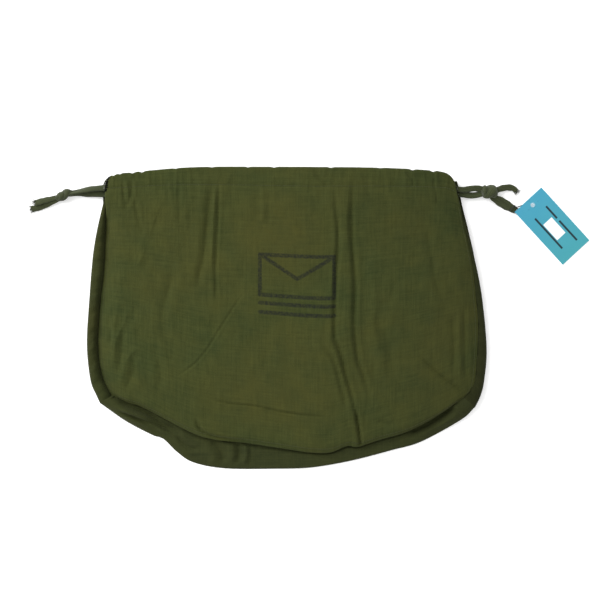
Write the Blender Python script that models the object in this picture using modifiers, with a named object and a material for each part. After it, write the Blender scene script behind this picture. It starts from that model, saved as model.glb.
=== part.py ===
"""Drawstring mail sack lying flat on its back panel.

Metres, +X across the sack, +Y towards its mouth, +Z up from the surface it lies on.
The two panels and the base are open patches stretched between four edge curves and given
a cloth thickness, so the sack stays hollow and open at the mouth.
"""

import bisect
import math

import bmesh
import bpy
from mathutils import Vector

# driving dimensions
CLOTH = 0.0010          # thickness of the canvas
FACING = 0.0008         # thickness of the casing's inner layer
BODY_TOP = 0.0205       # height of the front panel over the floor
SEAM_TOP = 0.0190       # height of the front panel at the base seam
SIDE_LEVEL = 0.0070     # height at which front and back panels meet
SIDE_GAP = 0.0009       # half of the gap left between the two panels' edges
SIDE_ROUND = 0.075      # share of the width over which a side rounds over
FRONT_SLOT = 0.0065     # how far the front panel's edge lifts at the cord slots
BACK_SLOT = 0.0044      # how far the back panel's edge drops at the cord slots
SLOT_START = 0.84       # share of the height where a side starts to open into its slot
SLOT_END = 0.90
STITCH_LINE = 0.925     # share of the height where the casing is sewn down
TUNNEL = 0.0052         # clear height of a casing's tunnel
SEWN_GAP = 0.00035      # gap left between layers that are sewn together
SEAM_GAP = 0.0012       # gap between the front panel's lower edge and the base
THREAD = 0.0004         # radius of a stitching thread
THREAD_LIFT = 0.0012    # height of a thread's centre over the cloth it is sewn to
CORD = 0.0022           # radius of a drawcord
TAIL_START = 0.0023     # radius of a cord tail at its knot
TAIL_END = 0.0030       # radius of a cord tail at its frayed end
COLUMNS = 24            # cells across a panel
ROWS = 12               # cells along a panel

# outline of the flat sack, each edge as the points a smooth curve runs through
TOP_EDGE = [(-0.2255, 0.1770), (-0.1750, 0.1845), (-0.1100, 0.1897), (0.0, 0.1915),
            (0.1100, 0.1905), (0.1650, 0.1872), (0.2120, 0.1750)]
LEFT_SIDE = [(-0.2425, -0.0995), (-0.2500, -0.0800), (-0.2545, -0.0350), (-0.2515, 0.0216),
             (-0.2460, 0.0850), (-0.2360, 0.1365), (-0.2312, 0.1600), (-0.2255, 0.1770)]
RIGHT_SIDE = [(0.2470, -0.0995), (0.2515, -0.0800), (0.2545, -0.0400), (0.2490, 0.0216),
              (0.2400, 0.0700), (0.2255, 0.1240), (0.2180, 0.1570), (0.2120, 0.1750)]
LEFT_HEEL = (-0.2365, -0.1110)
RIGHT_HEEL = (0.2405, -0.1110)
BASE_SEAM = [(-0.2425, -0.0995), (-0.2130, -0.1040), (-0.1826, -0.1168), (-0.1203, -0.1473),
             (-0.0530, -0.1588), (0.0, -0.1660), (0.0359, -0.1676), (0.0765, -0.1638),
             (0.1159, -0.1562), (0.1515, -0.1384), (0.2086, -0.1105), (0.2470, -0.0995)]
HEEL_EDGE = [LEFT_HEEL, (-0.2067, -0.1308), (-0.1546, -0.1562), (-0.1240, -0.1800),
             (-0.0850, -0.1905), (-0.0200, -0.1915), (0.0550, -0.1900), (0.0854, -0.1816),
             (0.1337, -0.1689), (0.1768, -0.1562), (0.2226, -0.1308), RIGHT_HEEL]

# routes of the two drawcords: out of the knot, round the mouth in the casing, back to it
LEFT_CORD = [(-0.2722, 0.1612, 0.0078), (-0.2595, 0.1628, 0.0086), (-0.2450, 0.1638, 0.0094),
             (-0.2310, 0.1640, 0.0098), (-0.2150, 0.1655, 0.0122), (-0.1950, 0.1688, 0.0153),
             (-0.1700, 0.1712, 0.0164), (-0.1200, 0.1715, 0.0167), (0.0, 0.1715, 0.0167),
             (0.1200, 0.1715, 0.0166), (0.1520, 0.1714, 0.0164), (0.1700, 0.1698, 0.0161),
             (0.1880, 0.1600, 0.0146), (0.1975, 0.1535, 0.0100), (0.1880, 0.1600, 0.0054),
             (0.1700, 0.1698, 0.0038), (0.1520, 0.1714, 0.0037), (0.1200, 0.1715, 0.0038),
             (0.0, 0.1715, 0.0038), (-0.1200, 0.1715, 0.0038), (-0.1700, 0.1705, 0.0038),
             (-0.1950, 0.1670, 0.0043), (-0.2150, 0.1600, 0.0052), (-0.2310, 0.1568, 0.0056),
             (-0.2470, 0.1552, 0.0054), (-0.2605, 0.1560, 0.0052), (-0.2716, 0.1567, 0.0050)]
RIGHT_CORD = [(0.2478, 0.1630, 0.0084), (0.2365, 0.1640, 0.0088), (0.2236, 0.1614, 0.0096),
              (0.2175, 0.1614, 0.0100), (0.2050, 0.1665, 0.0122), (0.1900, 0.1720, 0.0148),
              (0.1700, 0.1768, 0.0161), (0.1300, 0.1790, 0.0166), (0.0, 0.1790, 0.0167),
              (-0.1300, 0.1790, 0.0166), (-0.1700, 0.1782, 0.0163), (-0.1950, 0.1755, 0.0142),
              (-0.2030, 0.1745, 0.0100), (-0.1950, 0.1755, 0.0058), (-0.1700, 0.1782, 0.0038),
              (-0.1300, 0.1790, 0.0038), (0.0, 0.1790, 0.0038), (0.1300, 0.1790, 0.0038),
              (0.1700, 0.1762, 0.0038), (0.1900, 0.1705, 0.0046), (0.2050, 0.1630, 0.0054),
              (0.2180, 0.1556, 0.0058), (0.2350, 0.1538, 0.0054), (0.2478, 0.1562, 0.0056)]
LEFT_TAIL_UPPER = [(-0.2945, 0.1530, 0.0052), (-0.3050, 0.1500, 0.0044),
                   (-0.3150, 0.1468, 0.0038), (-0.3235, 0.1446, 0.0038)]
LEFT_TAIL_LOWER = [(-0.2940, 0.1474, 0.0042), (-0.3040, 0.1435, 0.0038),
                   (-0.3150, 0.1392, 0.0038), (-0.3255, 0.1358, 0.0038)]
RIGHT_TAIL_UPPER = [(0.2668, 0.1612, 0.0066), (0.2754, 0.1640, 0.0054),
                    (0.2851, 0.1640, 0.0046), (0.2918, 0.1604, 0.0046)]
RIGHT_TAIL_LOWER = [(0.2655, 0.1510, 0.0060), (0.2721, 0.1483, 0.0050),
                    (0.2819, 0.1440, 0.0046), (0.2884, 0.1385, 0.0046)]
LEFT_KNOT = (-0.2830, 0.1550, 0.0066)
LEFT_KNOT_RADII = (0.0100, 0.0058, 0.0054)
LEFT_KNOT_TURN = math.radians(25.0)
RIGHT_KNOT = (0.2572, 0.1595, 0.0084)
RIGHT_KNOT_RADII = (0.0076, 0.0082, 0.0070)
CORD_POINTS = 76

# oval rings of overcast thread round the two cord slots
BINDING_RADII = (0.0105, 0.0065)
BINDING_WIRE = 0.0009
LEFT_BINDING = (-0.2340, 0.1604, 0.0078)
RIGHT_BINDING = (0.2212, 0.1584, 0.0080)

# swing tag and the elastic that hangs it from the right cord's lower tail
TAG_CENTRE = (0.3371, 0.1158)
TAG_LENGTH = 0.0910
TAG_WIDTH = 0.0450
TAG_CARD = 0.0006
TAG_LEVEL = 0.0002
TAG_TURN = math.radians(-46.6)
HOLE_INSET = 0.0094
HOLE_RADIUS = 0.0020
EYELET_RADIUS = 0.0034
EYELET_CARD = 0.0005
HITCH = (0.2825, 0.1435, 0.0046)
HITCH_RADIUS = 0.0040
HITCH_PITCH = 0.0014
ELASTIC = 0.0005


def smooth(points, steps=12):
    """A function of 0..1 that runs evenly along a smooth curve through the points."""
    knots = [Vector(p) for p in points]
    ends = [2 * knots[0] - knots[1]] + knots + [2 * knots[-1] - knots[-2]]
    dense = []
    for a, b, c, d in zip(ends, ends[1:], ends[2:], ends[3:]):
        for step in range(steps):
            u = step / steps
            dense.append(0.5 * (2 * b + (c - a) * u + (2 * a - 5 * b + 4 * c - d) * u * u
                                + (3 * b - a - 3 * c + d) * u ** 3))
    dense.append(knots[-1])
    lengths = [0.0]
    for a, b in zip(dense, dense[1:]):
        lengths.append(lengths[-1] + (b - a).length)

    def at(share):
        want = min(max(share, 0.0), 1.0) * lengths[-1]
        k = min(max(bisect.bisect_right(lengths, want) - 1, 0), len(dense) - 2)
        return dense[k].lerp(dense[k + 1], (want - lengths[k]) / (lengths[k + 1] - lengths[k]))

    return at


def patch(bottom, top, left, right):
    """A function of (s, t) that fills the area between four edge curves."""
    def at(s, t):
        ruled = bottom(s).lerp(top(s), t) + left(t).lerp(right(t), s)
        corners = bottom(0).lerp(bottom(1), s).lerp(top(0).lerp(top(1), s), t)
        return ruled - corners

    return at


def smoothstep(low, high, value):
    u = min(max((value - low) / (high - low), 0.0), 1.0)
    return u * u * (3 - 2 * u)


def roundness(s):
    """0 at either side of a panel, rising on a quarter ellipse to 1 over its flat middle."""
    inward = min(1.0, min(s, 1 - s) / SIDE_ROUND)
    return math.sqrt(max(0.0, 1 - (1 - inward) ** 2))


def front_height(s, t):
    slot = smoothstep(SLOT_START, SLOT_END, t)
    edge = SIDE_LEVEL + SIDE_GAP + FRONT_SLOT * slot
    middle = SEAM_TOP + (BODY_TOP - SEAM_TOP) * smoothstep(0.0, 0.16, t)
    return edge + (middle - edge) * roundness(s)


def back_height(s, t):
    slot = smoothstep(SLOT_START, SLOT_END, t)
    edge = SIDE_LEVEL - SIDE_GAP - BACK_SLOT * slot
    return edge * (1 - roundness(s))


def tunnel_depth(v):
    """Share of the tunnel's height across a casing's inner layer: sewn, open, sewn."""
    return smoothstep(0.0, 0.16, v) * (1 - smoothstep(0.88, 1.0, v))


FRONT = patch(smooth(BASE_SEAM), smooth(TOP_EDGE), smooth(LEFT_SIDE), smooth(RIGHT_SIDE))
BACK = patch(smooth(HEEL_EDGE), smooth(TOP_EDGE), smooth([LEFT_HEEL] + LEFT_SIDE),
             smooth([RIGHT_HEEL] + RIGHT_SIDE))


def material(name, colour, roughness, metallic=0.0):
    made = bpy.data.materials.new(name)
    made.use_nodes = True
    shader = made.node_tree.nodes["Principled BSDF"]
    shader.inputs["Base Color"].default_value = (*colour, 1.0)
    shader.inputs["Roughness"].default_value = roughness
    shader.inputs["Metallic"].default_value = metallic
    made.diffuse_color = (*colour, 1.0)
    return made


def add(name, data, finish, collection, holder=None):
    """A named object in the sack's collection, held by an empty if it moves."""
    made = bpy.data.objects.new(name, data)
    made.data.materials.append(finish)
    collection.objects.link(made)
    if holder:
        made.parent = holder
        made.matrix_parent_inverse = holder.matrix_world.inverted()
    return made


def cloth_sheet(name, place, columns, rows, thickness, outward, finish, collection):
    """A grid laid over place(s, t), its columns closer together at the sides, and thickened."""
    mesh = bpy.data.meshes.new(name)
    bm = bmesh.new()
    bmesh.ops.create_grid(bm, x_segments=columns, y_segments=rows, size=0.5)
    for vert in bm.verts:
        s = 0.5 - 0.5 * math.cos(math.pi * min(max(vert.co.x + 0.5, 0.0), 1.0))
        vert.co = place(s, min(max(vert.co.y + 0.5, 0.0), 1.0))
    bm.to_mesh(mesh)
    bm.free()
    mesh.shade_smooth()
    made = add(name, mesh, finish, collection)
    thick = made.modifiers.new("cloth", "SOLIDIFY")
    thick.thickness = thickness
    thick.offset = 1.0 if outward else -1.0
    return made


def tube(name, points, radii, finish, collection, holder=None, closed=False):
    """A round tube through the points, its radius given at each one."""
    curve = bpy.data.curves.new(name, "CURVE")
    curve.dimensions = "3D"
    curve.bevel_depth = 1.0
    curve.bevel_resolution = 2
    curve.use_fill_caps = not closed
    spline = curve.splines.new("POLY")
    spline.points.add(len(points) - 1)
    for point, place, radius in zip(spline.points, points, radii):
        point.co = (*place, 1.0)
        point.radius = radius
    spline.use_cyclic_u = closed
    return add(name, curve, finish, collection, holder)


def cord(name, route, finish, collection, holder, start=CORD, end=CORD, count=CORD_POINTS):
    at = smooth(route)
    shares = [k / (count - 1) for k in range(count)]
    radii = [start + (end - start) * u for u in shares]
    return tube(name, [at(u) for u in shares], radii, finish, collection, holder)


def thread(name, place, count, finish, collection):
    points = [place(k / (count - 1)) for k in range(count)]
    return tube(name, points, [THREAD] * count, finish, collection)


def knot(name, centre, radii, turn, finish, collection, holder):
    mesh = bpy.data.meshes.new(name)
    bm = bmesh.new()
    bmesh.ops.create_uvsphere(bm, u_segments=16, v_segments=9, radius=1.0)
    bmesh.ops.scale(bm, vec=radii, verts=bm.verts)
    bm.to_mesh(mesh)
    bm.free()
    mesh.shade_smooth()
    made = add(name, mesh, finish, collection, holder)
    made.location = centre
    made.rotation_euler.z = turn
    return made


def binding(name, centre, finish, collection, holder, count=28):
    across, up = BINDING_RADII
    points = []
    for k in range(count):
        angle = 2 * math.pi * k / count
        offset = Vector((0.0, across * math.cos(angle), up * math.sin(angle)))
        points.append(Vector(centre) + offset)
    return tube(name, points, [BINDING_WIRE] * count, finish, collection, holder, closed=True)


def pivot(name, place, collection, holder=None):
    """An empty on a joint's axis, which holds the pieces that the joint moves."""
    made = bpy.data.objects.new(name, None)
    made.location = place
    made.empty_display_size = 0.02
    collection.objects.link(made)
    if holder:
        made.parent = holder
        made.matrix_parent_inverse = holder.matrix_world.inverted()
    bpy.context.view_layer.update()
    return made


def panels(finish, collection):
    def front(s, t):
        return Vector((*FRONT(s, t), front_height(s, t)))

    def back(s, t):
        return Vector((*BACK(s, t), back_height(s, t)))

    upper = smooth(BASE_SEAM)
    lower = smooth(HEEL_EDGE)

    def base(s, t):
        low = back_height(s, 0.0) + 2.8 * CLOTH
        high = max(front_height(s, 0.0), low)
        edge = upper(s) - Vector((0.0, SEAM_GAP))
        bulge = 0.12 * (high - low) * math.sin(math.pi * t)
        return Vector((*lower(s).lerp(edge, t), low + (high - low) * t + bulge))

    cloth_sheet("front_panel", front, COLUMNS, ROWS, CLOTH, False, finish, collection)
    cloth_sheet("back_panel", back, COLUMNS, ROWS, CLOTH, True, finish, collection)
    cloth_sheet("base_panel", base, COLUMNS, 3, CLOTH, False, finish, collection)


def casings(finish, collection):
    """The inner layers of the hem, which make the two tunnels that the cords run in."""
    inset, span = 0.125, 0.75

    def front(s, v):
        s = inset + span * s
        t = STITCH_LINE + (0.996 - STITCH_LINE) * v
        z = front_height(s, t) - CLOTH - SEWN_GAP - TUNNEL * tunnel_depth(v)
        return Vector((*FRONT(s, t), z))

    def back(s, v):
        s = inset + span * s
        t = STITCH_LINE + (0.996 - STITCH_LINE) * v
        z = back_height(s, t) + CLOTH + SEWN_GAP + TUNNEL * tunnel_depth(v)
        return Vector((*FRONT(s, t), z))

    cloth_sheet("front_casing", front, 16, 7, FACING, False, finish, collection)
    cloth_sheet("back_casing", back, 16, 7, FACING, True, finish, collection)


def stitching(finish, collection):
    def on_front(s, t):
        return Vector((*FRONT(s, t), front_height(s, t) + THREAD_LIFT))

    def in_back(s, t):
        lift = CLOTH + SEWN_GAP + FACING + THREAD_LIFT
        return Vector((*FRONT(s, t), back_height(s, t) + lift))

    thread("front_casing_stitching", lambda u: on_front(0.05 + 0.90 * u, STITCH_LINE),
           36, finish, collection)
    thread("back_casing_stitching", lambda u: in_back(0.10 + 0.80 * u, STITCH_LINE - 0.010),
           36, finish, collection)
    thread("base_seam_stitching", lambda u: on_front(0.04 + 0.92 * u, 0.012),
           40, finish, collection)
    thread("left_side_stitching", lambda u: on_front(0.022, 0.03 + 0.82 * u),
           24, finish, collection)
    thread("right_side_stitching", lambda u: on_front(0.978, 0.03 + 0.82 * u),
           24, finish, collection)


def cords(cloth, dark, collection):
    left_end = pivot("left_mouth_gather", LEFT_BINDING, collection)
    right_end = pivot("right_mouth_gather", RIGHT_BINDING, collection)
    left = pivot("left_cord_pull", LEFT_KNOT, collection, left_end)
    right = pivot("right_cord_pull", RIGHT_KNOT, collection, right_end)

    cord("left_drawcord", LEFT_CORD, cloth, collection, left)
    cord("right_drawcord", RIGHT_CORD, cloth, collection, right)
    for name, route, holder in (("left_upper_tail", LEFT_TAIL_UPPER, left),
                                ("left_lower_tail", LEFT_TAIL_LOWER, left),
                                ("right_upper_tail", RIGHT_TAIL_UPPER, right),
                                ("right_lower_tail", RIGHT_TAIL_LOWER, right)):
        cord(name, route, cloth, collection, holder, TAIL_START, TAIL_END, 7)
    knot("left_knot", LEFT_KNOT, LEFT_KNOT_RADII, LEFT_KNOT_TURN, cloth, collection, left)
    knot("right_knot", RIGHT_KNOT, RIGHT_KNOT_RADII, 0.0, cloth, collection, right)
    binding("left_slot_binding", LEFT_BINDING, dark, collection, left_end)
    binding("right_slot_binding", RIGHT_BINDING, dark, collection, right_end)
    return right


def tag(card, clear, black, collection, right):
    swing = pivot("tag_swing", HITCH, collection, right)
    along = Vector((math.cos(TAG_TURN), math.sin(TAG_TURN)))
    hole = Vector(TAG_CENTRE) - (TAG_LENGTH / 2 - HOLE_INSET) * along

    outline = bpy.data.curves.new("swing_tag", "CURVE")
    outline.dimensions = "2D"
    outline.fill_mode = "BOTH"
    outline.extrude = TAG_CARD / 2
    half = (TAG_LENGTH / 2, TAG_WIDTH / 2)
    corners = [(-half[0], -half[1]), (half[0], -half[1]), (half[0], half[1]), (-half[0], half[1])]
    rim = [(HOLE_INSET - half[0] + HOLE_RADIUS * math.cos(math.pi * k / 8),
            HOLE_RADIUS * math.sin(math.pi * k / 8)) for k in range(16)]
    for ring in (corners, rim):
        spline = outline.splines.new("POLY")
        spline.points.add(len(ring) - 1)
        for point, place in zip(spline.points, ring):
            point.co = (*place, 0.0, 1.0)
        spline.use_cyclic_u = True
    card_object = add("swing_tag", outline, card, collection, swing)
    card_object.location = (*TAG_CENTRE, TAG_LEVEL + TAG_CARD / 2)
    card_object.rotation_euler.z = TAG_TURN

    low = TAG_LEVEL + TAG_CARD + 0.0003
    profile = bpy.data.meshes.new("tag_eyelet")
    bm = bmesh.new()
    ring = [bm.verts.new((x, 0.0, z)) for x, z in (
        (EYELET_RADIUS, low + EYELET_CARD), (EYELET_RADIUS, low),
        (HOLE_RADIUS, low), (HOLE_RADIUS, low + EYELET_CARD))]
    for a, b in zip(ring, ring[1:] + ring[:1]):
        bm.edges.new((a, b))
    bm.to_mesh(profile)
    bm.free()
    eyelet = add("tag_eyelet", profile, clear, collection, swing)
    eyelet.location = (*hole, 0.0)
    turned = eyelet.modifiers.new("turned", "SCREW")
    turned.steps = 24
    turned.render_steps = 24
    turned.use_merge_vertices = True
    turned.merge_threshold = 0.00005

    start, end = Vector(RIGHT_TAIL_LOWER[2]), Vector(RIGHT_TAIL_LOWER[3])
    forward = (end - start).normalized()
    side = Vector((-forward.y, forward.x, 0.0))
    wrap = []
    for k in range(19):
        angle = 2 * math.pi * k / 18
        across = HITCH_RADIUS * (side * math.cos(angle) + Vector((0, 0, 1)) * math.sin(angle))
        wrap.append(Vector(HITCH) + across - forward * HITCH_PITCH * k / 18)
    lead = smooth([Vector((*hole, 0.0012)), Vector((hole.x - 0.0008, hole.y, 0.0026)),
                   Vector((0.3040, 0.1432, 0.0028)), Vector((0.2960, 0.1455, 0.0034)),
                   Vector((0.2900, 0.1462, 0.0042)),
                   wrap[0] + Vector((0.0010, -0.0008, -0.0002))])
    points = [lead(k / 12) for k in range(12)] + wrap
    tube("tag_elastic", points, [ELASTIC] * len(points), black, collection, swing)


def main():
    for old in list(bpy.data.objects):
        bpy.data.objects.remove(old)
    collection = bpy.data.collections.new("mail_sack")
    bpy.context.scene.collection.children.link(collection)
    canvas = material("olive_canvas", (0.055, 0.062, 0.016), 0.9)
    tape = material("olive_cord", (0.075, 0.088, 0.035), 0.9)
    yarn = material("olive_thread", (0.045, 0.050, 0.018), 0.85)
    dark = material("dark_thread", (0.015, 0.016, 0.012), 0.85)
    card = material("blue_card", (0.075, 0.430, 0.620), 0.5)
    clear = material("clear_plastic", (0.800, 0.820, 0.830), 0.25)
    black = material("black_elastic", (0.012, 0.012, 0.013), 0.7)
    panels(canvas, collection)
    casings(canvas, collection)
    stitching(yarn, collection)
    right = cords(tape, dark, collection)
    tag(card, clear, black, collection, right)


main()
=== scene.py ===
"""Looks of the drawstring mail sack: cloth with its folds, hem, stitches, cords and tag.

Metres, in the CAD's frame: +X across the sack, +Y to its mouth, +Z up off the floor.
"""

import math
import random

import bmesh
import bpy
import numpy as np
from mathutils import Matrix, Vector, noise


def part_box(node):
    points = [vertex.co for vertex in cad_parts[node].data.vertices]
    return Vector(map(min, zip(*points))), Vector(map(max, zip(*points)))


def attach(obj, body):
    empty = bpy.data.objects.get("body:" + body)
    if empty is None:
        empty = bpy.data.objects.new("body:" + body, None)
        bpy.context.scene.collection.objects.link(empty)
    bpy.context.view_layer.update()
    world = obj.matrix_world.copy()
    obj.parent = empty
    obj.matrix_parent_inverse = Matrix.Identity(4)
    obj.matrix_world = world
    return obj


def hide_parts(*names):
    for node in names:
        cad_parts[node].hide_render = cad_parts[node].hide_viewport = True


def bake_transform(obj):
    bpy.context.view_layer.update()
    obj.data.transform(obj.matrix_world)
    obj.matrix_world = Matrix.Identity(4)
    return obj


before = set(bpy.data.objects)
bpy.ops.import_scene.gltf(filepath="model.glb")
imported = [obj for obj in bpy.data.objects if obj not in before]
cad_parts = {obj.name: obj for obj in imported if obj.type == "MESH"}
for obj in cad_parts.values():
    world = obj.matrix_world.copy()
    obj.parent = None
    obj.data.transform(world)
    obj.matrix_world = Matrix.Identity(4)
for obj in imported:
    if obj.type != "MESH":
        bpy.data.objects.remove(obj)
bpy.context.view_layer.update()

# cloth
CLOTH = 0.0007            # thickness of the canvas
HEM_ROUND = 0.0026        # radius of the fold at the top of the hem
CASING = 0.0240           # width of the hem that the cords run in
PANEL_LENGTH = 0.345      # length of a panel from base to mouth
PANEL_WIDTH = 0.480
CREASE_LEVELS = (0.0046, 0.0110)   # height of the sunken seam at the left and right side
ROLL_LEVELS = (0.0126, 0.0118)     # top of the rolled strip outside that seam
SEAM_LEVEL = 0.0098       # height of the front's lower edge over the base
FOLD_STRENGTH = 1.40      # share of their measured depth that the front's folds are drawn at
SIDE_LEVEL = 0.0062       # height of the sack's outermost line
BODY_LEVEL = 0.0158       # height of the front over its middle
HEM_LEVEL = 0.0185        # height of the front over the cords
SLOT_START, SLOT_END = 0.785, 0.905
SPLIT = 0.5               # share of the width where left and right halves meet

# outline of the flat sack, each edge as the points its smooth curve runs through
TOP_EDGE = [(-0.2225, 0.1796), (-0.2100, 0.1820), (-0.1950, 0.1832), (-0.1750, 0.1854),
            (-0.1100, 0.1900), (0.0, 0.1902), (0.1100, 0.1892), (0.1650, 0.1868),
            (0.1950, 0.1842), (0.2060, 0.1798), (0.2120, 0.1730)]
LEFT_SIDE = [(-0.2425, -0.0995), (-0.2500, -0.0800), (-0.2545, -0.0350), (-0.2515, 0.0216),
             (-0.2460, 0.0850), (-0.2360, 0.1365), (-0.2318, 0.1560), (-0.2298, 0.1700),
             (-0.2225, 0.1796)]
RIGHT_SIDE = [(0.2470, -0.0995), (0.2515, -0.0800), (0.2545, -0.0400), (0.2490, 0.0216),
              (0.2400, 0.0700), (0.2255, 0.1240), (0.2180, 0.1570), (0.2120, 0.1730)]
LEFT_HEEL = (-0.2375, -0.1100)
RIGHT_HEEL = (0.2400, -0.1145)
LEFT_CREASE = [(-0.2235, -0.1000), (-0.2355, -0.0740), (-0.2405, -0.0380), (-0.2380, 0.0150),
               (-0.2330, 0.0580), (-0.2308, 0.1040), (-0.2298, 0.1380), (-0.2302, 0.1560),
               (-0.2285, 0.1700), (-0.2225, 0.1796)]
RIGHT_CREASE = [(0.2250, -0.1020), (0.2340, -0.0915), (0.2395, -0.0760), (0.2430, -0.0165),
                (0.2405, 0.0216), (0.2350, 0.0700), (0.2230, 0.1240), (0.2165, 0.1560),
                (0.2120, 0.1730)]
FRONT_SEAM = [(-0.2235, -0.1000), (-0.2010, -0.1090), (-0.1800, -0.1165), (-0.1203, -0.1473),
              (-0.0900, -0.1560), (-0.0530, -0.1600), (0.0, -0.1680), (0.0300, -0.1722),
              (0.0550, -0.1722), (0.0765, -0.1640), (0.0900, -0.1650), (0.1159, -0.1568),
              (0.1515, -0.1462), (0.1840, -0.1300), (0.2110, -0.1120), (0.2250, -0.1020)]
HEEL_EDGE = [LEFT_HEEL, (-0.2058, -0.1328), (-0.1720, -0.1508), (-0.1580, -0.1556),
             (-0.1400, -0.1728), (-0.1190, -0.1860), (-0.0780, -0.1936), (-0.0100, -0.1940),
             (0.0250, -0.1930), (0.0550, -0.1890), (0.0897, -0.1820), (0.1337, -0.1704),
             (0.1720, -0.1592), (0.2226, -0.1312), RIGHT_HEEL]

# where the cloth turns from following the sack to following a mouth end
BLENDS = {
    "left": ("sack", "left_mouth_end", (-0.0080, 0.1920, 0.0), (-0.1095, 0.2935, 0.0)),
    "right": ("sack", "right_mouth_end", (-0.0060, 0.1920, 0.0), (0.0955, 0.2935, 0.0)),
}

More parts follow.
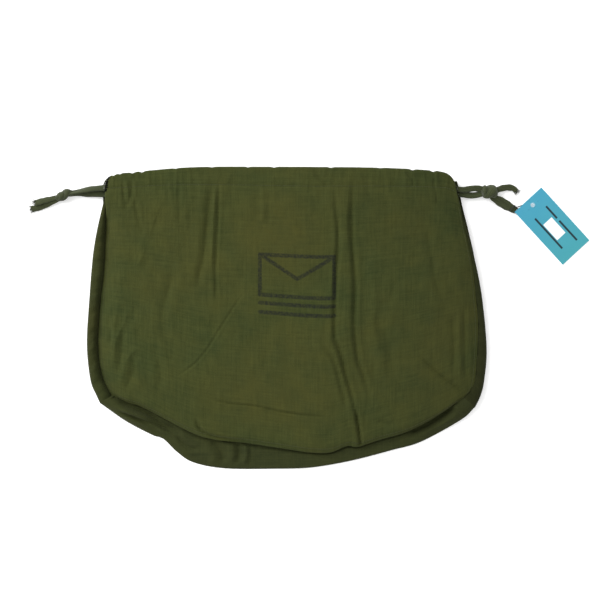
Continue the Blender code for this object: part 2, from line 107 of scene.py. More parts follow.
# folds of the front: depth below the cloth (a ridge is negative), half width, route
FOLDS = [
    (0.0010, 0.0026, [(-0.2097, 0.1750), (-0.2054, 0.1549), (-0.2033, 0.1338)]),
    (0.0009, 0.0026, [(-0.1949, 0.1790), (-0.1965, 0.1571), (-0.2033, 0.1338)]),
    (0.0008, 0.0026, [(-0.1928, 0.1528), (-0.1885, 0.1274), (-0.1843, 0.1100)]),
    (0.0010, 0.0042, [(-0.1568, 0.1500), (-0.1716, 0.1041), (-0.1843, 0.0682)]),
    (-0.0010, 0.0045, [(-0.1546, 0.1549), (-0.1673, 0.1210), (-0.1779, 0.0872),
                       (-0.1928, 0.0576)]),
    (0.0007, 0.0035, [(-0.1377, 0.1655), (-0.1356, 0.1359), (-0.1370, 0.1150)]),
    (0.0015, 0.0020, [(-0.0848, 0.1840), (-0.0858, 0.1655), (-0.0869, 0.1359),
                      (-0.0890, 0.0872), (-0.0901, 0.0576), (-0.0890, 0.0050)]),
    (-0.0013, 0.0016, [(-0.0901, 0.1700), (-0.0922, 0.1359), (-0.0943, 0.0999),
                       (-0.0954, 0.0600)]),
    (0.0017, 0.0045, [(-0.0965, 0.1820), (-0.0960, 0.1600), (-0.0996, 0.1295),
                      (-0.1017, 0.1041), (-0.1049, 0.0787), (-0.1102, 0.0533),
                      (-0.1144, 0.0250)]),
    (0.0011, 0.0056, [(-0.1440, 0.0750), (-0.1462, 0.0449), (-0.1525, 0.0237),
                      (-0.1568, 0.0025), (-0.1546, -0.0229), (-0.1440, -0.0440),
                      (-0.1400, -0.0580)]),
    (0.0007, 0.0013, [(-0.0500, 0.0330), (-0.0594, 0.0237), (-0.0721, 0.0047),
                      (-0.0869, -0.0186), (-0.1017, -0.0419), (-0.1187, -0.0610),
                      (-0.1450, -0.0790)]),
    (0.0012, 0.0030, [(-0.2250, 0.0080), (-0.2245, -0.0059), (-0.2224, -0.0370)]),
    (0.0013, 0.0060, [(-0.2070, 0.0050), (-0.2097, -0.0462), (-0.2139, -0.0740)]),
    (-0.0009, 0.0036, [(-0.2000, 0.0120), (-0.2060, -0.0080), (-0.2160, -0.0300),
                       (-0.2190, -0.0600)]),
    (0.0013, 0.0052, [(-0.1985, -0.0400), (-0.1938, -0.0673), (-0.2054, -0.0950)]),
    (-0.0008, 0.0040, [(-0.1820, -0.0400), (-0.1930, -0.0430), (-0.2030, -0.0560),
                       (-0.2090, -0.0820)]),
    (0.0011, 0.0050, [(-0.1716, -0.0350), (-0.1610, -0.0589), (-0.1589, -0.0960)]),
    (0.0014, 0.0013, [(-0.1100, -0.0990), (-0.1017, -0.1022), (-0.0721, -0.1097),
                      (-0.0403, -0.1128), (-0.0128, -0.1192), (0.0168, -0.1234),
                      (0.0443, -0.1266), (0.0600, -0.1340)]),
    (0.0022, 0.0022, [(-0.1165, -0.1240), (-0.1102, -0.1414), (-0.0975, -0.1500),
                      (-0.0806, -0.1550), (-0.0500, -0.1590)]),
    (0.0021, 0.0026, [(0.0600, 0.1840), (0.0623, 0.1422), (0.0655, 0.1105), (0.0645, 0.0787),
                      (0.0623, 0.0449), (0.0610, 0.0050), (0.0613, -0.0271),
                      (0.0676, -0.0440), (0.0740, -0.0737), (0.0803, -0.0948),
                      (0.0880, -0.1242), (0.0914, -0.1403), (0.0943, -0.1620),
                      (0.0950, -0.1800), (0.0950, -0.2000)]),
    (0.0020, 0.0018, [(0.0870, -0.1150), (0.0905, -0.1380), (0.0935, -0.1600),
                      (0.0940, -0.1720)]),
    (-0.0011, 0.0060, [(0.0725, 0.1840), (0.0735, 0.1359), (0.0735, 0.0745), (0.0755, 0.0300),
                       (0.0745, -0.0200), (0.0800, -0.0560), (0.0890, -0.0900)]),
    (0.0022, 0.0028, [(0.0850, 0.1840), (0.0824, 0.1359), (0.0824, 0.0999), (0.0846, 0.0745),
                      (0.0867, 0.0406), (0.0856, 0.0046), (0.0867, -0.0271),
                      (0.0909, -0.0567), (0.0973, -0.0737), (0.1036, -0.0969),
                      (0.1075, -0.1250)]),
    (0.0013, 0.0024, [(0.0400, -0.0250), (0.0443, -0.0334), (0.0592, -0.0546),
                      (0.0655, -0.0758), (0.0719, -0.1012), (0.0770, -0.1230)]),
    (-0.0011, 0.0026, [(0.0520, -0.0260), (0.0634, -0.0483), (0.0719, -0.0758),
                       (0.0824, -0.1075), (0.0880, -0.1330)]),
    (0.0009, 0.0018, [(0.0338, 0.1846), (0.0443, 0.1719), (0.0549, 0.1634)]),
    (0.0010, 0.0070, [(0.1050, 0.0080), (0.1269, -0.0229), (0.1332, -0.0483),
                      (0.1354, -0.0700)]),
    (-0.0011, 0.0060, [(0.1036, 0.0745), (0.1100, 0.0449), (0.1120, 0.0152),
                       (0.1100, -0.0144), (0.1184, -0.0525), (0.1269, -0.0758),
                       (0.1459, -0.0906)]),
    (0.0012, 0.0014, [(0.1640, -0.0480), (0.1756, -0.0567), (0.1946, -0.0737),
                      (0.2116, -0.0864), (0.2240, -0.0960)]),
    (0.0008, 0.0038, [(0.2060, 0.0080), (0.2095, -0.0038), (0.2116, -0.0377),
                      (0.2116, -0.0760)]),
    (0.0009, 0.0032, [(0.2243, 0.0200), (0.2260, -0.0400), (0.2264, -0.0880)]),
    (-0.0006, 0.0030, [(0.2170, 0.0060), (0.2185, -0.0400), (0.2190, -0.0800)]),
    (0.0009, 0.0045, [(0.1777, 0.1210), (0.1819, 0.0872), (0.1904, 0.0406),
                      (0.2031, 0.0100)]),
    (0.0007, 0.0050, [(0.1390, 0.0500), (0.1330, 0.0280), (0.1260, 0.0100)]),
    (0.0011, 0.0030, [(0.1140, -0.1310), (0.1240, -0.1345), (0.1350, -0.1370)]),
    (0.0010, 0.0020, [(0.1480, 0.1850), (0.1587, 0.1740), (0.1608, 0.1640)]),
    (0.0010, 0.0026, [(0.1850, 0.1780), (0.1885, 0.1600), (0.1905, 0.1400)]),
    (-0.0009, 0.0040, [(-0.0300, 0.1700), (-0.0290, 0.1400), (-0.0310, 0.1150)]),
    (0.0006, 0.0060, [(-0.0300, -0.0150), (-0.0250, -0.0450), (-0.0300, -0.0700)]),
]

# folds of the base strip
BASE_FOLDS = [
    (0.0026, 0.0060, [(-0.0980, -0.1560), (-0.0840, -0.1700), (-0.0800, -0.1880)]),
    (0.0024, 0.0040, [(-0.0640, -0.1580), (-0.0610, -0.1720), (-0.0640, -0.1880)]),
    (-0.0016, 0.0028, [(-0.0540, -0.1620), (-0.0510, -0.1740), (-0.0540, -0.1880)]),
    (0.0018, 0.0030, [(-0.1420, -0.1500), (-0.1280, -0.1640), (-0.1120, -0.1710)]),
    (0.0044, 0.0036, [(-0.2240, -0.1030), (-0.2080, -0.1100), (-0.1930, -0.1165),
                      (-0.1750, -0.1250), (-0.1560, -0.1370), (-0.1300, -0.1500)]),
    (-0.0020, 0.0022, [(-0.2120, -0.1160), (-0.2000, -0.1205), (-0.1850, -0.1262),
                       (-0.1700, -0.1330)]),
    (0.0028, 0.0020, [(-0.2180, -0.1180), (-0.2000, -0.1250), (-0.1800, -0.1320),
                      (-0.1600, -0.1400), (-0.1400, -0.1500)]),
    (0.0012, 0.0016, [(-0.2000, -0.1250), (-0.1800, -0.1350), (-0.1600, -0.1450)]),
    (0.0040, 0.0050, [(0.1500, -0.1500), (0.1700, -0.1410), (0.1860, -0.1325),
                      (0.2000, -0.1235), (0.2160, -0.1120)]),
    (-0.0016, 0.0030, [(0.2080, -0.1080), (0.2170, -0.1160), (0.2260, -0.1230)]),
    (-0.0012, 0.0030, [(0.1700, -0.1500), (0.1900, -0.1400), (0.2100, -0.1290)]),
    (0.0010, 0.0040, [(0.0900, -0.1680), (0.1300, -0.1590), (0.1700, -0.1480)]),
]

# notches in the hem's upper edge: place along X, depth, half width
NOTCHES = [(-0.2190, 0.0012, 0.0022), (-0.2110, 0.0010, 0.0020), (-0.1950, 0.0014, 0.0024),
           (-0.1830, 0.0016, 0.0028), (-0.0490, 0.0010, 0.0022), (-0.0160, 0.0011, 0.0030),
           (0.0560, 0.0010, 0.0030), (0.1590, 0.0014, 0.0028), (0.1850, 0.0016, 0.0028),
           (-0.0950, 0.0008, 0.0030), (-0.1400, 0.0007, 0.0030), (0.1180, 0.0006, 0.0030)]

# drawcord strands outside the casing, and their frayed tails
LEFT_FRONT_STRAND = [(-0.2160, 0.1660, 0.0112), (-0.2240, 0.1650, 0.0102),
                     (-0.2320, 0.1641, 0.0094), (-0.2400, 0.1636, 0.0090),
                     (-0.2480, 0.1630, 0.0086), (-0.2560, 0.1616, 0.0082),
                     (-0.2640, 0.1600, 0.0076), (-0.2720, 0.1585, 0.0070),
                     (-0.2790, 0.1570, 0.0064)]
LEFT_BACK_STRAND = [(-0.2160, 0.1580, 0.0060), (-0.2240, 0.1574, 0.0057),
                    (-0.2320, 0.1570, 0.0054), (-0.2400, 0.1568, 0.0051),
                    (-0.2480, 0.1570, 0.0047), (-0.2560, 0.1576, 0.0043),
                    (-0.2640, 0.1582, 0.0040), (-0.2720, 0.1576, 0.0044),
                    (-0.2790, 0.1566, 0.0050)]
RIGHT_FRONT_STRAND = [(0.2020, 0.1664, 0.0118), (0.2100, 0.1640, 0.0108),
                      (0.2180, 0.1624, 0.0100), (0.2250, 0.1618, 0.0094),
                      (0.2310, 0.1626, 0.0090), (0.2370, 0.1635, 0.0087),
                      (0.2430, 0.1634, 0.0084), (0.2500, 0.1616, 0.0080),
                      (0.2550, 0.1600, 0.0078)]
RIGHT_BACK_STRAND = [(0.2020, 0.1620, 0.0060), (0.2100, 0.1588, 0.0059),
                     (0.2180, 0.1566, 0.0056), (0.2250, 0.1557, 0.0052),
                     (0.2310, 0.1551, 0.0050), (0.2370, 0.1549, 0.0050),
                     (0.2430, 0.1557, 0.0054), (0.2500, 0.1577, 0.0062),
                     (0.2550, 0.1590, 0.0070)]
LEFT_TAIL_UPPER = [(-0.2880, 0.1534, 0.0056), (-0.2960, 0.1516, 0.0048),
                   (-0.3045, 0.1496, 0.0042), (-0.3130, 0.1475, 0.0038),
                   (-0.3212, 0.1453, 0.0034)]
LEFT_TAIL_LOWER = [(-0.2880, 0.1512, 0.0042), (-0.2960, 0.1476, 0.0032),
                   (-0.3050, 0.1436, 0.0022), (-0.3150, 0.1400, 0.0018),
                   (-0.3256, 0.1374, 0.0018)]
RIGHT_TAIL_UPPER = [(0.2610, 0.1600, 0.0074), (0.2670, 0.1616, 0.0062),
                    (0.2750, 0.1642, 0.0046), (0.2830, 0.1652, 0.0036),
                    (0.2895, 0.1638, 0.0030), (0.2928, 0.1602, 0.0028)]
RIGHT_TAIL_LOWER = [(0.2590, 0.1560, 0.0072), (0.2640, 0.1518, 0.0056),
                    (0.2720, 0.1474, 0.0036), (0.2820, 0.1418, 0.0022),
                    (0.2920, 0.1360, 0.0017)]
TAPE_WIDTHS = {"left": 0.0088, "right": 0.0074}
TAPE_THICK = 0.0030
STRANDS = (("left_front_strand", LEFT_FRONT_STRAND, 0.16, 0.15, "left"),
           ("left_back_strand", LEFT_BACK_STRAND, -0.20, 0.35, "left"),
           ("right_front_strand", RIGHT_FRONT_STRAND, 0.12, -0.25, "right"),
           ("right_back_strand", RIGHT_BACK_STRAND, -0.12, 0.35, "right"))

# print on the card: start and stop along it, and level across it
CARD_BARS = ((-0.0240, -0.0030, 0.0115), (0.0010, 0.0350, 0.0115), (-0.0220, 0.0300, -0.0095))
CARD_TILT = 0.0040        # rise of the card's holed end over the elastic

# finish and light
WEAVE = 0.00052           # pitch of the canvas's yarns
OLIVE = ((0.0280, 0.0375, 0.0088, 1.0), (0.0480, 0.0580, 0.0155, 1.0),
         (0.0590, 0.0575, 0.0125, 1.0))
# painted shade: a darker copy of the olive for the back cloth, seen only in the side rolls
SHADED = ((0.0250, 0.0320, 0.0075, 1.0), (0.0420, 0.0490, 0.0130, 1.0),
          (0.0460, 0.0470, 0.0115, 1.0))
# painted shade: a still darker copy of the olive for the base strip under the front
DEEP_SHADED = ((0.0225, 0.0280, 0.0080, 1.0), (0.0360, 0.0420, 0.0125, 1.0),
        (0.0385, 0.0420, 0.0115, 1.0))
KEY_PLACE = (-2.2, 1.7, 2.0)
KEY_POWER = 130.0
WORLD_STRENGTH = 0.80
FLOOR_GLOW = 0.30         # the white table is lit through, so shadows on it stay faint


class Route:
    """A smooth curve through points, read by share of its length."""

    def __init__(self, points, steps=14):
        knots = np.array(points, float)
        ends = np.vstack([2 * knots[0] - knots[1], knots, 2 * knots[-1] - knots[-2]])
        rows = []
        for a, b, c, d in zip(ends, ends[1:], ends[2:], ends[3:]):
            for u in np.arange(steps) / steps:
                rows.append(0.5 * (2 * b + (c - a) * u + (2 * a - 5 * b + 4 * c - d) * u ** 2
                                   + (3 * b - a - 3 * c + d) * u ** 3))
        rows.append(knots[-1])
        self.points = np.array(rows)
        steps_long = np.linalg.norm(np.diff(self.points, axis=0), axis=1)
        self.lengths = np.concatenate([[0.0], np.cumsum(steps_long)])
        self.length = self.lengths[-1]

    def __call__(self, share):
        want = np.clip(share, 0.0, 1.0) * self.length
        return np.stack([np.interp(want, self.lengths, axis) for axis in self.points.T], -1)


def smoothstep(low, high, value):
    u = np.clip((value - low) / (high - low), 0.0, 1.0)
    return u * u * (3 - 2 * u)


def quarter(distance, radius):
    """0 at distance 0, rising on a quarter circle to 1 at the radius."""
    u = np.clip(distance / radius, 0.0, 1.0)
    return np.sqrt(np.clip(1 - (1 - u) ** 2, 0.0, 1.0))


def patch(bottom, top, left, right, s, t):
    """The area between four edge curves at shares s and t, which are arrays of one shape."""
    s1, t1 = s[..., None], t[..., None]
    ruled = bottom(s) * (1 - t1) + top(s) * t1 + left(t) * (1 - s1) + right(t) * s1
    first = bottom(0.0) * (1 - s1) + bottom(1.0) * s1
    last = top(0.0) * (1 - s1) + top(1.0) * s1
    return ruled - (first * (1 - t1) + last * t1)


def fold_height(folds, x, y):
    """Sum of the folds at each place: a valley with low shoulders, fading at its ends."""
    total = np.zeros_like(x)
    for depth, width, points in folds:
        line = Route(points, 6)
        near = np.full(x.shape, 1e9)
        share = np.zeros_like(x)
        for k, (a, b) in enumerate(zip(line.points, line.points[1:])):
            along = b - a
            size = along @ along
            u = np.clip(((x - a[0]) * along[0] + (y - a[1]) * along[1]) / size, 0, 1)
            gap = np.hypot(x - a[0] - u * along[0], y - a[1] - u * along[1])
            closer = gap < near
            near = np.where(closer, gap, near)
            here = (line.lengths[k] + u * math.sqrt(size)) / line.length
            share = np.where(closer, here, share)
        fade = smoothstep(0.0, 0.22, share) * smoothstep(1.0, 0.78, share)
        # a soft valley floor with a narrow line in it, and a shoulder on either side
        shape = (-0.72 * np.exp(-(near / width) ** 2)
                 - 0.28 * np.exp(-(near / (0.45 * width)) ** 2)
                 + 0.30 * np.exp(-((near - 2.1 * width) / (0.9 * width)) ** 2))
        total += depth * fade * shape
    return total


def cloud(x, y, scale_x, scale_y, seed, octaves=3):
    """Smooth noise of about -1..1 over arrays of places."""
    out = np.empty(x.size)
    for k, (a, b) in enumerate(zip(x.ravel(), y.ravel())):
        out[k] = noise.fractal((a * scale_x, b * scale_y, seed), 1.0, 2.0, octaves)
    return out.reshape(x.shape)


HEM_SEED = random.Random(7)
GATHERS = []
place = -0.2300
while place < 0.2200:
    middle = 1 - abs(place) / 0.2300
    size = 0.00035 + 0.00075 * (1 - middle) ** 1.2
    GATHERS.append((place, size * HEM_SEED.uniform(0.5, 1.3),
                    HEM_SEED.uniform(0.0018, 0.0034), HEM_SEED.uniform(-0.22, 0.22),
                    HEM_SEED.uniform(0.010, 0.040)))
    place += HEM_SEED.uniform(0.0060, 0.0150)


def gather_height(x, y, below_edge):
    """The hem's small upright ripples, which run out a little way below the stitch line."""
    total = np.zeros_like(x)
    for centre, size, width, lean, reach in GATHERS:
        run = smoothstep(CASING + reach, CASING * 0.55, below_edge)
        drift = lean * (below_edge - CASING)
        total += size * run * np.exp(-((x - centre - drift) / width) ** 2)
    return total


def notch_depth(x):
    total = np.zeros_like(x)
    for centre, depth, width in NOTCHES:
        total += depth * np.exp(-((x - centre) / width) ** 2)
    return total


TOP, SEAM, HEEL = Route(TOP_EDGE), Route(FRONT_SEAM), Route(HEEL_EDGE)
CREASES = (Route(LEFT_CREASE), Route(RIGHT_CREASE))
OUTERS = (Route([LEFT_HEEL] + LEFT_SIDE), Route([RIGHT_HEEL] + RIGHT_SIDE))


def slot_share(t):
    return smoothstep(SLOT_START, SLOT_END, t)


def swell(distance, radius):
    """0 at distance 0, rising softly to 1 at the radius, steepest at the start."""
    u = np.clip(distance / radius, 0.0, 1.0)
    return 1 - (1 - u) ** 2.2


def side_pair(pair, s):
    return pair[0] * (1 - s) + pair[1] * s


def front_surface(s, below):
    """Places on the front's outer face at share s of the width, this far below the hem's edge."""
    t = np.clip(1 - below / PANEL_LENGTH, 0.0, 1.0)
    flat = patch(SEAM, TOP, CREASES[0], CREASES[1], s, t)
    x, y = flat[..., 0], flat[..., 1]
    slot = slot_share(t)
    side = np.minimum(s, 1 - s) * PANEL_WIDTH
    foot = t * PANEL_LENGTH
    edge = side_pair(CREASE_LEVELS, s)
    edge = edge + (SEAM_LEVEL - edge) * smoothstep(0.002, 0.028, side)
    edge = edge + (0.0128 - edge) * slot
    level = 0.0140 + (BODY_LEVEL - 0.0140) * smoothstep(0.02, 0.22, t)
    level = level + (HEM_LEVEL - BODY_LEVEL) * smoothstep(0.085, 0.012, below)
    level = level + 0.0013 * cloud(x, y, 9.0, 6.0, 3.1, 2)
    soft = 0.55 * swell(side, 0.024) + 0.45 * smoothstep(0.0, 0.030, side)
    side_rise = soft * (1 - slot) + (0.35 + 0.65 * quarter(side, 0.030)) * slot
    z = edge + (level - edge) * side_rise * swell(foot, 0.014)
    inside = smoothstep(0.0, 0.006, side) * smoothstep(0.0, 0.005, foot)
    z = z + FOLD_STRENGTH * fold_height(FOLDS, x, y) * inside
    z = z + gather_height(x, y, below) * smoothstep(0.0, 0.004, side)
    z = z - 0.0005 * np.exp(-((below - CASING) / 0.0020) ** 2) * smoothstep(0.0, 0.010, side)
    z = z + (0.00065 * cloud(x, y, 42.0, 20.0, 9.7) + 0.00020 * cloud(x, y, 150.0, 110.0, 2.3)
             ) * inside
    return np.stack([x, y, z], -1)


def hem_rows(outer_at, sign):
    """The fold over the hem's edge and the casing's inner layer, row by row, from the outer face
    at HEM_ROUND below the edge. sign is +1 where the outer face is on top."""
    rows = []
    start = outer_at(HEM_ROUND)
    nearest = outer_at(0.0)
    for step in range(1, 9):
        angle = math.pi * step / 8
        share = math.sin(angle)
        flat = start[:, :2] * (1 - share) + nearest[:, :2] * share
        z = start[:, 2] - sign * HEM_ROUND * (1 - math.cos(angle))
        rows.append(np.column_stack([flat, z]))
    for below in np.linspace(HEM_ROUND, CASING, 9)[1:]:
        place_at = outer_at(below)
        rise = smoothstep(CASING - 0.0045, CASING - 0.0005, below)
        gap = 2 * HEM_ROUND * (1 - rise) + 0.0012 * rise
        z = start[:, 2] * (1 - rise) + place_at[:, 2] * rise - sign * gap
        rows.append(np.column_stack([place_at[:, :2], z]))
    return np.array(rows)


def turn_under(grid, edge, inward):
    """The grid with one edge folded under itself: edge is first/last and row/column."""
    axis = 0 if "row" in edge else 1
    line = grid.take(0 if "first" in edge else -1, axis)
    inward = np.array(inward, float)
    near = line + inward * 0.0003 - (0.0, 0.0, CLOTH)
    far = line + inward * 0.0045 - (0.0, 0.0, 1.5 * CLOTH)
    near[..., 2] = np.maximum(near[..., 2], 0.0001)
    far[..., 2] = np.maximum(far[..., 2], 0.0001)
    parts = [far, near] if "first" in edge else [near, far]
    stack = np.stack(parts, axis)
    return np.concatenate([stack, grid] if "first" in edge else [grid, stack], axis)


def grid_normals(grid, flip):
    along = np.gradient(grid, axis=1)
    up = np.gradient(grid, axis=0)
    normals = np.cross(along, up)
    size = np.linalg.norm(normals, axis=-1, keepdims=True)
    normals = np.where(size > 1e-14, normals / np.maximum(size, 1e-14), (0.0, 0.0, 1.0))
    return -normals if flip else normals


def sheet(name, grid, uv, normals, flip):
    """A cloth sheet from rows of places, with its cloth coordinates kept as a UV map."""
    rows, columns = grid.shape[:2]
    index = np.arange(rows * columns).reshape(rows, columns)
    quads = np.stack([index[:-1, :-1], index[:-1, 1:], index[1:, 1:], index[1:, :-1]], -1)
    quads = quads.reshape(-1, 4)
    if flip:
        quads = quads[:, ::-1]
    mesh = bpy.data.meshes.new(name)
    mesh.from_pydata(grid.reshape(-1, 3).tolist(), [], quads.tolist())
    layer = mesh.uv_layers.new(name="cloth")
    layer.data.foreach_set("uv", uv.reshape(-1, 2)[quads.ravel()].ravel())
    mesh.shade_smooth()
    mesh.normals_split_custom_set_from_vertices(normals.reshape(-1, 3).tolist())
    made = bpy.data.objects.new(name, mesh)
    bpy.context.scene.collection.objects.link(made)
    return made


def halves(name, grid, uv, split, flip):
    """Left and right sheets that meet at one column and shade as one."""
    normals = grid_normals(grid, flip)
    parts = (("left", slice(None, split + 1)), ("right", slice(split, None)))
    return {side: sheet(f"{name}_{side}", grid[:, cut], uv[:, cut], normals[:, cut], flip)
            for side, cut in parts}


def columns_of(count, close):
    """Shares across the width, closer together towards both sides, with one at the split."""
    u = np.linspace(0.0, 1.0, count)
    half = SPLIT * (u * (1 - close) + close * (1 - np.cos(u * math.pi / 2)))
    return np.concatenate([half, (1 - half)[::-1][1:]])


def flat_of(grid, shift, hem_row, split):
    """Cloth coordinates in metres: X as laid, and the length run up the panel to its edge."""
    steps = np.linalg.norm(np.diff(grid[:, split], axis=0), axis=-1)
    run = np.concatenate([[0.0], np.cumsum(steps)])
    run = run - run[hem_row] + grid[hem_row, split, 1]
    return np.stack(np.broadcast_arrays(grid[..., 0] + shift, run[:, None]), -1)


def front_sheets():
    s = columns_of(150, 0.55)
    rows = np.concatenate([[0.0, 0.0008, 0.002, 0.0035, 0.0052, 0.0072],
                           np.linspace(0.0088, PANEL_LENGTH - 0.0300, 190),
                           np.linspace(PANEL_LENGTH - 0.0285, PANEL_LENGTH - HEM_ROUND, 20)])

    def outer_at(below):
        below = np.broadcast_to(below, s.shape if np.ndim(below) == 0 else below.shape)
        across = np.broadcast_to(s, below.shape)
        line = front_surface(across, below)
        line[..., 1] -= notch_depth(line[..., 0]) * smoothstep(0.012, 0.002, below)
        return line

    grid = outer_at(np.tile((PANEL_LENGTH - rows)[:, None], (1, len(s))))
    whole = np.concatenate([grid, hem_rows(outer_at, 1)])
    whole = turn_under(whole, "first row", (0, 1, 0))
    whole = turn_under(turn_under(whole, "first column", (1, 0, 0)), "last column", (-1, 0, 0))
    split = 2 + 149
    return halves("front_cloth", whole, flat_of(whole, 0.0, 2 + len(rows), split), split, False)


def side_roll(t, side, mid, slot):
    """The back's cloth from the side's outermost line up over the roll and down to the seam."""
    turns = np.radians(np.linspace(150.0, 15.0, 12))
    full = 1 - math.cos(turns[0])
    share = (1 - np.cos(turns)) / full
    outside, inside = OUTERS[side](t), CREASES[side](t)
    roll = outside + (inside - outside) * share[:, None]
    lift = (ROLL_LEVELS[side] - SIDE_LEVEL) * (1 - slot)
    low = (CREASE_LEVELS[side] - 0.0004) * (1 - slot) + 0.0030 * slot
    sunk = (np.sin(turns) - 0.5) / 0.5
    height = np.where(turns > math.pi / 2, low + (mid + lift - low) * sunk,
                      mid + lift * np.sin(turns))
    wrap = np.column_stack([roll, height])
    ripple = 0.0008 * np.sin(t * 61.0 + 3 * side) + 0.0005 * np.sin(t * 141.0)
    wrap[:, 2] += ripple * np.sin(turns) * (1 - slot)
    return wrap


def back_sheets():
    """The back: flat on the floor, round each side and up over the roll to the sunken seam."""
    s = columns_of(44, 0.75)
    rows = np.concatenate([np.linspace(0.0, PANEL_LENGTH - 0.030, 90),
                           np.linspace(PANEL_LENGTH - 0.027, PANEL_LENGTH - HEM_ROUND, 12)])

    def line_at(t):
        flat = patch(HEEL, TOP, OUTERS[0], OUTERS[1], s, np.full(len(s), t))
        slot = float(slot_share(t))
        mid = SIDE_LEVEL * (1 - slot) + 0.0022 * slot
        reach = np.minimum(s, 1 - s) * PANEL_WIDTH
        inner = np.column_stack([flat, mid * (1 - quarter(reach, 0.012))])
        return np.vstack([side_roll(t, 0, mid, slot), inner, side_roll(t, 1, mid, slot)[::-1]])

    def outer_at(below):
        line = line_at(1 - below / PANEL_LENGTH)
        line[:, 1] -= notch_depth(line[:, 0] + 0.004) * smoothstep(0.012, 0.002, below)
        return line

    grid = np.array([line_at(row / PANEL_LENGTH) for row in rows])
    whole = np.concatenate([grid, hem_rows(outer_at, -1)])
    whole = turn_under(turn_under(whole, "first column", (-1, 0, 0)), "last column", (1, 0, 0))
    split = 2 + 12 + 43
    return halves("back_cloth", whole, flat_of(whole, 0.7, len(rows), split), split, True)


def base_sheet():
    """The base between the front's lower edge and the heel, its ends rolled like the sides."""
    s = 0.5 - 0.5 * np.cos(math.pi * np.linspace(0.0, 1.0, 300))
    s = 0.35 * s + 0.65 * np.linspace(0.0, 1.0, 300)
    turns = np.radians(np.concatenate([np.linspace(0.0, 150.0, 34)]))
    share = (1 - np.cos(turns)) / (1 - math.cos(turns[-1]))
    reach = np.minimum(s, 1 - s) * PANEL_WIDTH
    near_end = side_pair((0.030, 0.010), s)
    end = 1 - smoothstep(0.0, 1.0, (reach - near_end) / side_pair((0.065, 0.045), s))
    heel_z = SIDE_LEVEL * (1 - quarter(reach, 0.060))
    crest = side_pair(ROLL_LEVELS, s)
    low = side_pair(CREASE_LEVELS, s) - 0.0004
    low = low + (side_pair((0.0016, 0.0064), s) - low) * smoothstep(0.004, 0.030, reach)
    lines = []
    for turn, f in zip(turns, share):
        flat = HEEL(s) * (1 - f) + SEAM(s) * f
        if turn > math.pi / 2:
            roll = low + (crest - low) * (math.sin(turn) - 0.5) / 0.5
        else:
            roll = heel_z + (crest - heel_z) * math.sin(turn)
        strip = heel_z + 0.0034 * quarter(f, 0.16) + 0.0026 * f
        strip = strip - 0.0022 * smoothstep(0.80, 1.0, f)
        lines.append(np.column_stack([flat, strip * (1 - end) + roll * end]))
    grid = np.array(lines)
    under = grid[-1] + (0.0, 0.0060, 0.0)
    under[:, 2] -= 0.0010
    grid = np.concatenate([grid, under[None]])
    x, y = grid[..., 0], grid[..., 1]
    share = np.append(share, 1.0)
    inside = (smoothstep(0.0, 0.10, share) * smoothstep(1.0, 0.93, share))[:, None]
    inside = inside * smoothstep(0.004, 0.020, reach)
    grid[..., 2] += 1.3 * fold_height(BASE_FOLDS, x, y) * inside
    grid[..., 2] += 0.0008 * cloud(x, y, 40.0, 40.0, 5.5) * inside
    grid = turn_under(turn_under(grid, "first column", (1, 0, 0)), "last column", (-1, 0, 0))
    grid[..., 2] = np.maximum(grid[..., 2], 0.0001)
    return sheet("base_cloth", grid, grid[..., :2].copy(), grid_normals(grid, False), False)


# materials ---------------------------------------------------------------------------------

class Nodes:
    """Short calls to build a material's node tree."""

    def __init__(self, name):
        self.material = bpy.data.materials.new(name)
        self.material.use_nodes = True
        self.tree = self.material.node_tree
        self.shader = self.tree.nodes["Principled BSDF"]

    def add(self, kind, inputs=None, **settings):
        made = self.tree.nodes.new(kind)
        for key, value in settings.items():
            setattr(made, key, value)
        for key, value in (inputs or {}).items():
            if isinstance(value, bpy.types.NodeSocket):
                self.tree.links.new(value, made.inputs[key])
            else:
                made.inputs[key].default_value = value
        return made

    def math(self, operation, a, b=0.0, c=0.0):
        return self.add("ShaderNodeMath", {0: a, 1: b, 2: c}, operation=operation).outputs[0]

    def total(self, *terms):
        """Sum of (socket, weight) pairs."""
        result = 0.0
        for socket, weight in terms:
            result = self.math("MULTIPLY_ADD", socket, weight, result)
        return result

    def ramp(self, value, low, high, bottom=0.0, top=1.0):
        made = self.add("ShaderNodeMapRange", {"Value": value, "From Min": low, "From Max": high,
                                               "To Min": bottom, "To Max": top})
        return made.outputs[0]

    def mix(self, share, a, b, blend="MIX"):
        made = self.add("ShaderNodeMix", data_type="RGBA", blend_type=blend)
        for key, value in (("Factor", share), ("A", a), ("B", b)):
            socket = next(i for i in made.inputs if i.name == key and i.enabled)
            if isinstance(value, bpy.types.NodeSocket):
                self.tree.links.new(value, socket)
            else:
                socket.default_value = value
        return next(o for o in made.outputs if o.enabled)

    def noise(self, vector, scale, detail=3.0, roughness=0.5):
        made = self.add("ShaderNodeTexNoise", {"Vector": vector, "Scale": scale,
                                               "Detail": detail, "Roughness": roughness})
        return made.outputs["Fac"]

    def stretch(self, vector, scale):
        return self.add("ShaderNodeMapping", {"Vector": vector, "Scale": scale}).outputs[0]

    def cloth_uv(self):
        return self.add("ShaderNodeUVMap", uv_map="cloth").outputs[0]

    def axes(self, vector):
        made = self.add("ShaderNodeSeparateXYZ", {0: vector})
        return made.outputs[0], made.outputs[1]

    def link(self, socket, name):
        self.tree.links.new(socket, self.shader.inputs[name])

    def set(self, **values):
        for key, value in values.items():
            self.shader.inputs[key.replace("_", " ")].default_value = value

    def bump(self, height, distance, strength=1.0, normal=None):
        inputs = {"Height": height, "Distance": distance, "Strength": strength}
        if normal is not None:
            inputs["Normal"] = normal
        return self.add("ShaderNodeBump", inputs).outputs[0]


